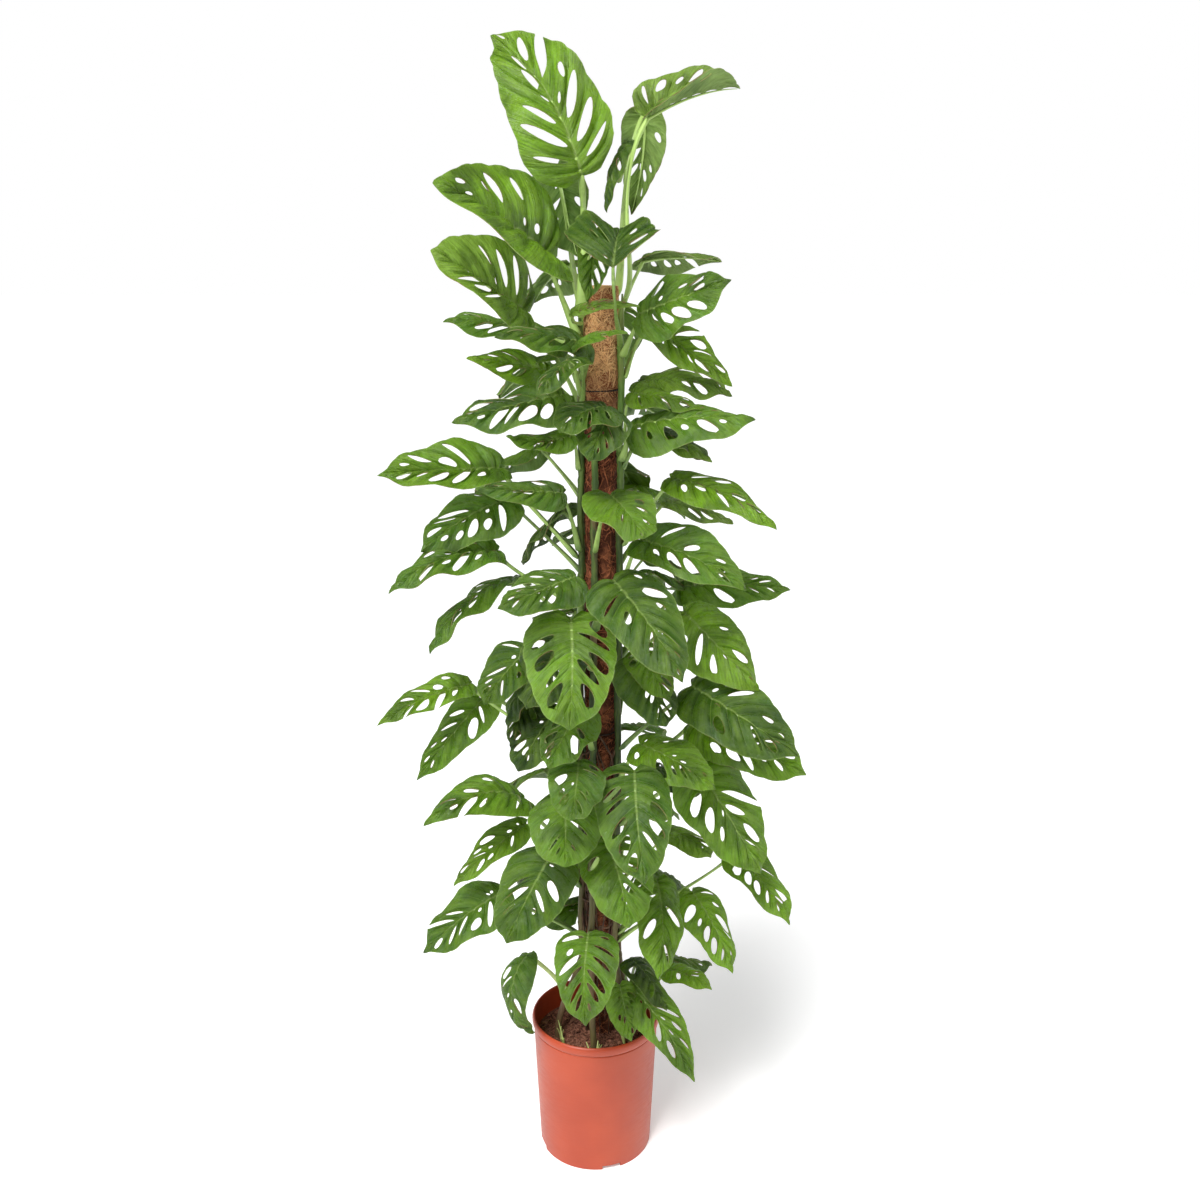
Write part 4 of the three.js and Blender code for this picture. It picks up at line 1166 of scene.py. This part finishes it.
def add_stalk(batch, leaf, shape_seed):
    """Petiole and midrib as one rod. The petiole starts narrow, widens to a grooved sheath, thins
    towards the blade and swells once more just before it. Below 1.55 m its foot is darker. Its
    sides turn on the way, to lie in the blade's plane where the midrib starts."""
    petiole, outward = petiole_path(leaf)
    on_rib = linspace(0.012, 0.965, 22)
    level = np.zeros_like(on_rib)
    rib = blade_points(leaf, on_rib, level, level + 1, level, np.random.default_rng(shape_seed))
    size = 0.45 + 0.6 * (leaf.length / 0.2) ** 1.7
    s = linspace(0, 1, len(petiole))
    knee = 0.0008 * bell(s - 0.93, 0.045)
    wide = 0.0034 + 0.0048 * (1 - smooth(s / 0.85)) + knee
    tall = 0.0037 + 0.0022 * (1 - smooth(s / 0.6)) + knee
    thin = 0.0026 * (1 - on_rib) ** 0.9 + 0.0004
    pale = leaf.name in PALE_PETIOLES
    bulk = (1.8 if pale else 1) * (0.45 + 0.55 * smooth(s / 0.08))
    wide = np.concatenate([wide * bulk, thin * 1.15]) * size
    tall = np.concatenate([tall * bulk, thin]) * size
    # The stalk takes the leaf's tone, with the painted shade and light that it holds.
    tone = np.full(len(wide), np.clip(leaf.tone + 0.3, -0.1, 1))
    tone[: len(s)] = 1.6 if pale else tone[0]
    tone[: len(s)] -= 1.1 * (1 - smooth(s / 0.3)) * smooth((1.55 - petiole[0, 2]) / 0.2)
    path = np.concatenate([petiole, rib - leaf.normal * (0.3 * thin * size)[:, None]])
    groove = np.concatenate([0.75 - 0.55 * smooth((s - 0.8) / 0.15), 0.2 + 0 * on_rib])
    tangent = unit(np.gradient(path, axis=0))
    first_side = np.cross(outward, [0, 0, 1])
    flat = unit(first_side - tangent * (tangent @ first_side)[:, None])
    bent = np.cross(tangent, flat)
    last = len(petiole) - 1
    angle = np.arctan2(bent[last] @ -leaf.across, flat[last] @ -leaf.across)
    turn = angle * smooth((np.arange(len(path)) / last - 0.45) / 0.55)[:, None]
    sideways = flat * cos(turn) + bent * sin(turn)
    sideways[last + 1 :] = -leaf.across
    tone = np.repeat(np.concatenate([tone[:1], tone, tone[-1:]]), STALK_SIDES)
    batch.rod(path, sideways, wide, tall, STALK_SIDES, groove, finish=2, u=0, v=0, tone=tone)


def make_leaf(row, number):
    """One leaf: a blade with holes, and a stalk. High leaves are brighter, and leaves close to the
    pole and below its top are darker, as painted shade. Returns its stem, and the height at which it
    leaves it."""
    leaf = read_leaf(row)
    draw = np.random.default_rng(1000 + number)
    height = leaf.junction[2]
    inner = smooth((0.1 - np.linalg.norm((leaf.junction - POLE)[:2])) / 0.03)
    leaf.tone += draw.uniform(-0.3, 0.22) + 0.3 * smooth((height - 1.45) / 0.3)
    # Painted shade: leaves close to the pole and below its top are darker.
    leaf.tone -= 0.2 * inner * smooth((1.62 - height) / 0.1)
    u, v, vein, across = blade_cells(leaf.name, leaf.length, draw)
    side = np.array([-1, 1])[:, None, None, None] * np.ones_like(u)
    shape_seed = int(draw.integers(1 << 30))
    sheet = blade_points(leaf, u, v, side, across, np.random.default_rng(shape_seed))
    points, faces, upper, first = slab(sheet.reshape(-1, 3), BLADE_TRIANGLES, BLADE_THICKNESS)
    finish = np.zeros(len(faces), int)
    finish[upper : 2 * upper] = 1
    finish[2 * upper :] = 3
    twice = np.concatenate([first, first])
    batch = Batch()
    at = {"u": vein.ravel()[twice], "v": v.ravel()[twice], "tone": leaf.tone}
    batch.add(points, faces, finish, weld=False, **at)
    add_stalk(batch, leaf, shape_seed)
    stands_for = [leaf.name] if leaf.name.startswith("leaf_") else []
    batch.piece(leaf.name + "_blade", [UPPER, UNDER, STALK, EDGE], stands_for)
    return leaf.stem, leaf.leaves_at


# ---- The making ----

UPPER = leaf_finish(
    "leaf_upper_side", dark=(0.014, 0.041, 0.009), middle=(0.116, 0.26, 0.025),
    bright=(0.3, 0.56, 0.028), pale=(0.23, 0.36, 0.04), vein=(0.4, 0.56, 0.14),
    roughness=0.27, gloss=0.5,
)
UNDER = leaf_finish(
    "leaf_underside", dark=(0.036, 0.08, 0.02), middle=(0.15, 0.27, 0.065),
    bright=(0.32, 0.5, 0.11), pale=(0.3, 0.4, 0.12), vein=(0.36, 0.47, 0.18),
    roughness=0.5, gloss=0.35,
)
STALK = stalk_finish()
EDGE = edge_finish()
STEM = stem_finish()
COIR = fibre_finish()
ROOT = root_finish()
CORD = cord_finish()
SOIL = soil_finish()

make_pot()
make_soil()
make_crumbs()
make_shoots()
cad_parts["pole_stake"].material_slots[0].material = wood_finish()
make_coir()
make_fibres()
make_bindings()

rows = LEAVES.strip().splitlines() + [rear_row(i) for i in range(REAR_LEAVES)]
rows += [inner_row(i) for i in range(INNER_LEAVES)]
nodes = {name: [] for name in STEMS}
for number, row in enumerate(rows):
    stem, height = make_leaf(row, number)
    nodes[stem].append(height)
for name in STEMS:
    make_stem(name, nodes[name])
make_roots()

# ---- The studio ----

floor_mesh = bpy.data.meshes.new("studio_floor")
corners = [(x * FLOOR_REACH, y * FLOOR_REACH, 0) for x, y in ((-1, -1), (1, -1), (1, 1), (-1, 1))]
floor_mesh.from_pydata(corners, [], [(0, 1, 2, 3)])
floor_mesh.materials.append(floor_finish())
studio_floor = placed("studio_floor", floor_mesh)

# The air lights the plant softly, and what the camera sees past the floor is white.
world = bpy.data.worlds.new("studio_air")
bpy.context.scene.world = world
world.use_nodes = True
air = world.node_tree
backdrop = air.nodes.new("ShaderNodeBackground")
for sky, strength in ((air.nodes["Background"], AIR_LIGHT), (backdrop, 1)):
    sky.inputs["Color"].default_value = (1, 1, 1, 1)
    sky.inputs["Strength"].default_value = strength
seen = air.nodes.new("ShaderNodeLightPath")
both = air.nodes.new("ShaderNodeMixShader")
air.links.new(seen.outputs["Is Camera Ray"], both.inputs[0])
air.links.new(air.nodes["Background"].outputs[0], both.inputs[1])
air.links.new(backdrop.outputs[0], both.inputs[2])
air.links.new(both.outputs[0], air.nodes["World Output"].inputs["Surface"])


def softbox(name, place, aim, size, power):
    """A square soft light at a place, turned so that it shines at the aim."""
    lamp = bpy.data.lights.new(name, "AREA")
    lamp.shape = "SQUARE"
    lamp.size = size
    lamp.energy = power
    x, y, z = np.array(place) - np.array(aim)
    placed(name, lamp, place, (np.arctan2(np.hypot(x, y), z), 0, np.arctan2(x, -y)))


softbox("key_light", place=(-1.5, -2.2, 3.0), aim=(0, 0, 1.1), size=2.0, power=95)
softbox("rim_light", place=(2.4, 0.6, 2.2), aim=(0, 0, 1.0), size=1.6, power=26)

daylight = bpy.data.lights.new("broad_light", "SUN")
daylight.energy = DAYLIGHT
daylight.angle = radians(DAYLIGHT_SPREAD)
placed("broad_light", daylight, turn=radians(DAYLIGHT_TURN))

lens = bpy.data.cameras.new("studio_camera")
lens.lens = FOCAL_LENGTH
lens.sensor_width = SENSOR_WIDTH
lens.clip_end = 200
camera = placed("studio_camera", lens, CAMERA_PLACE, (radians(CAMERA_TILT), 0, 0))
bpy.context.scene.camera = camera
bpy.context.scene.view_settings.view_transform = "Standard"
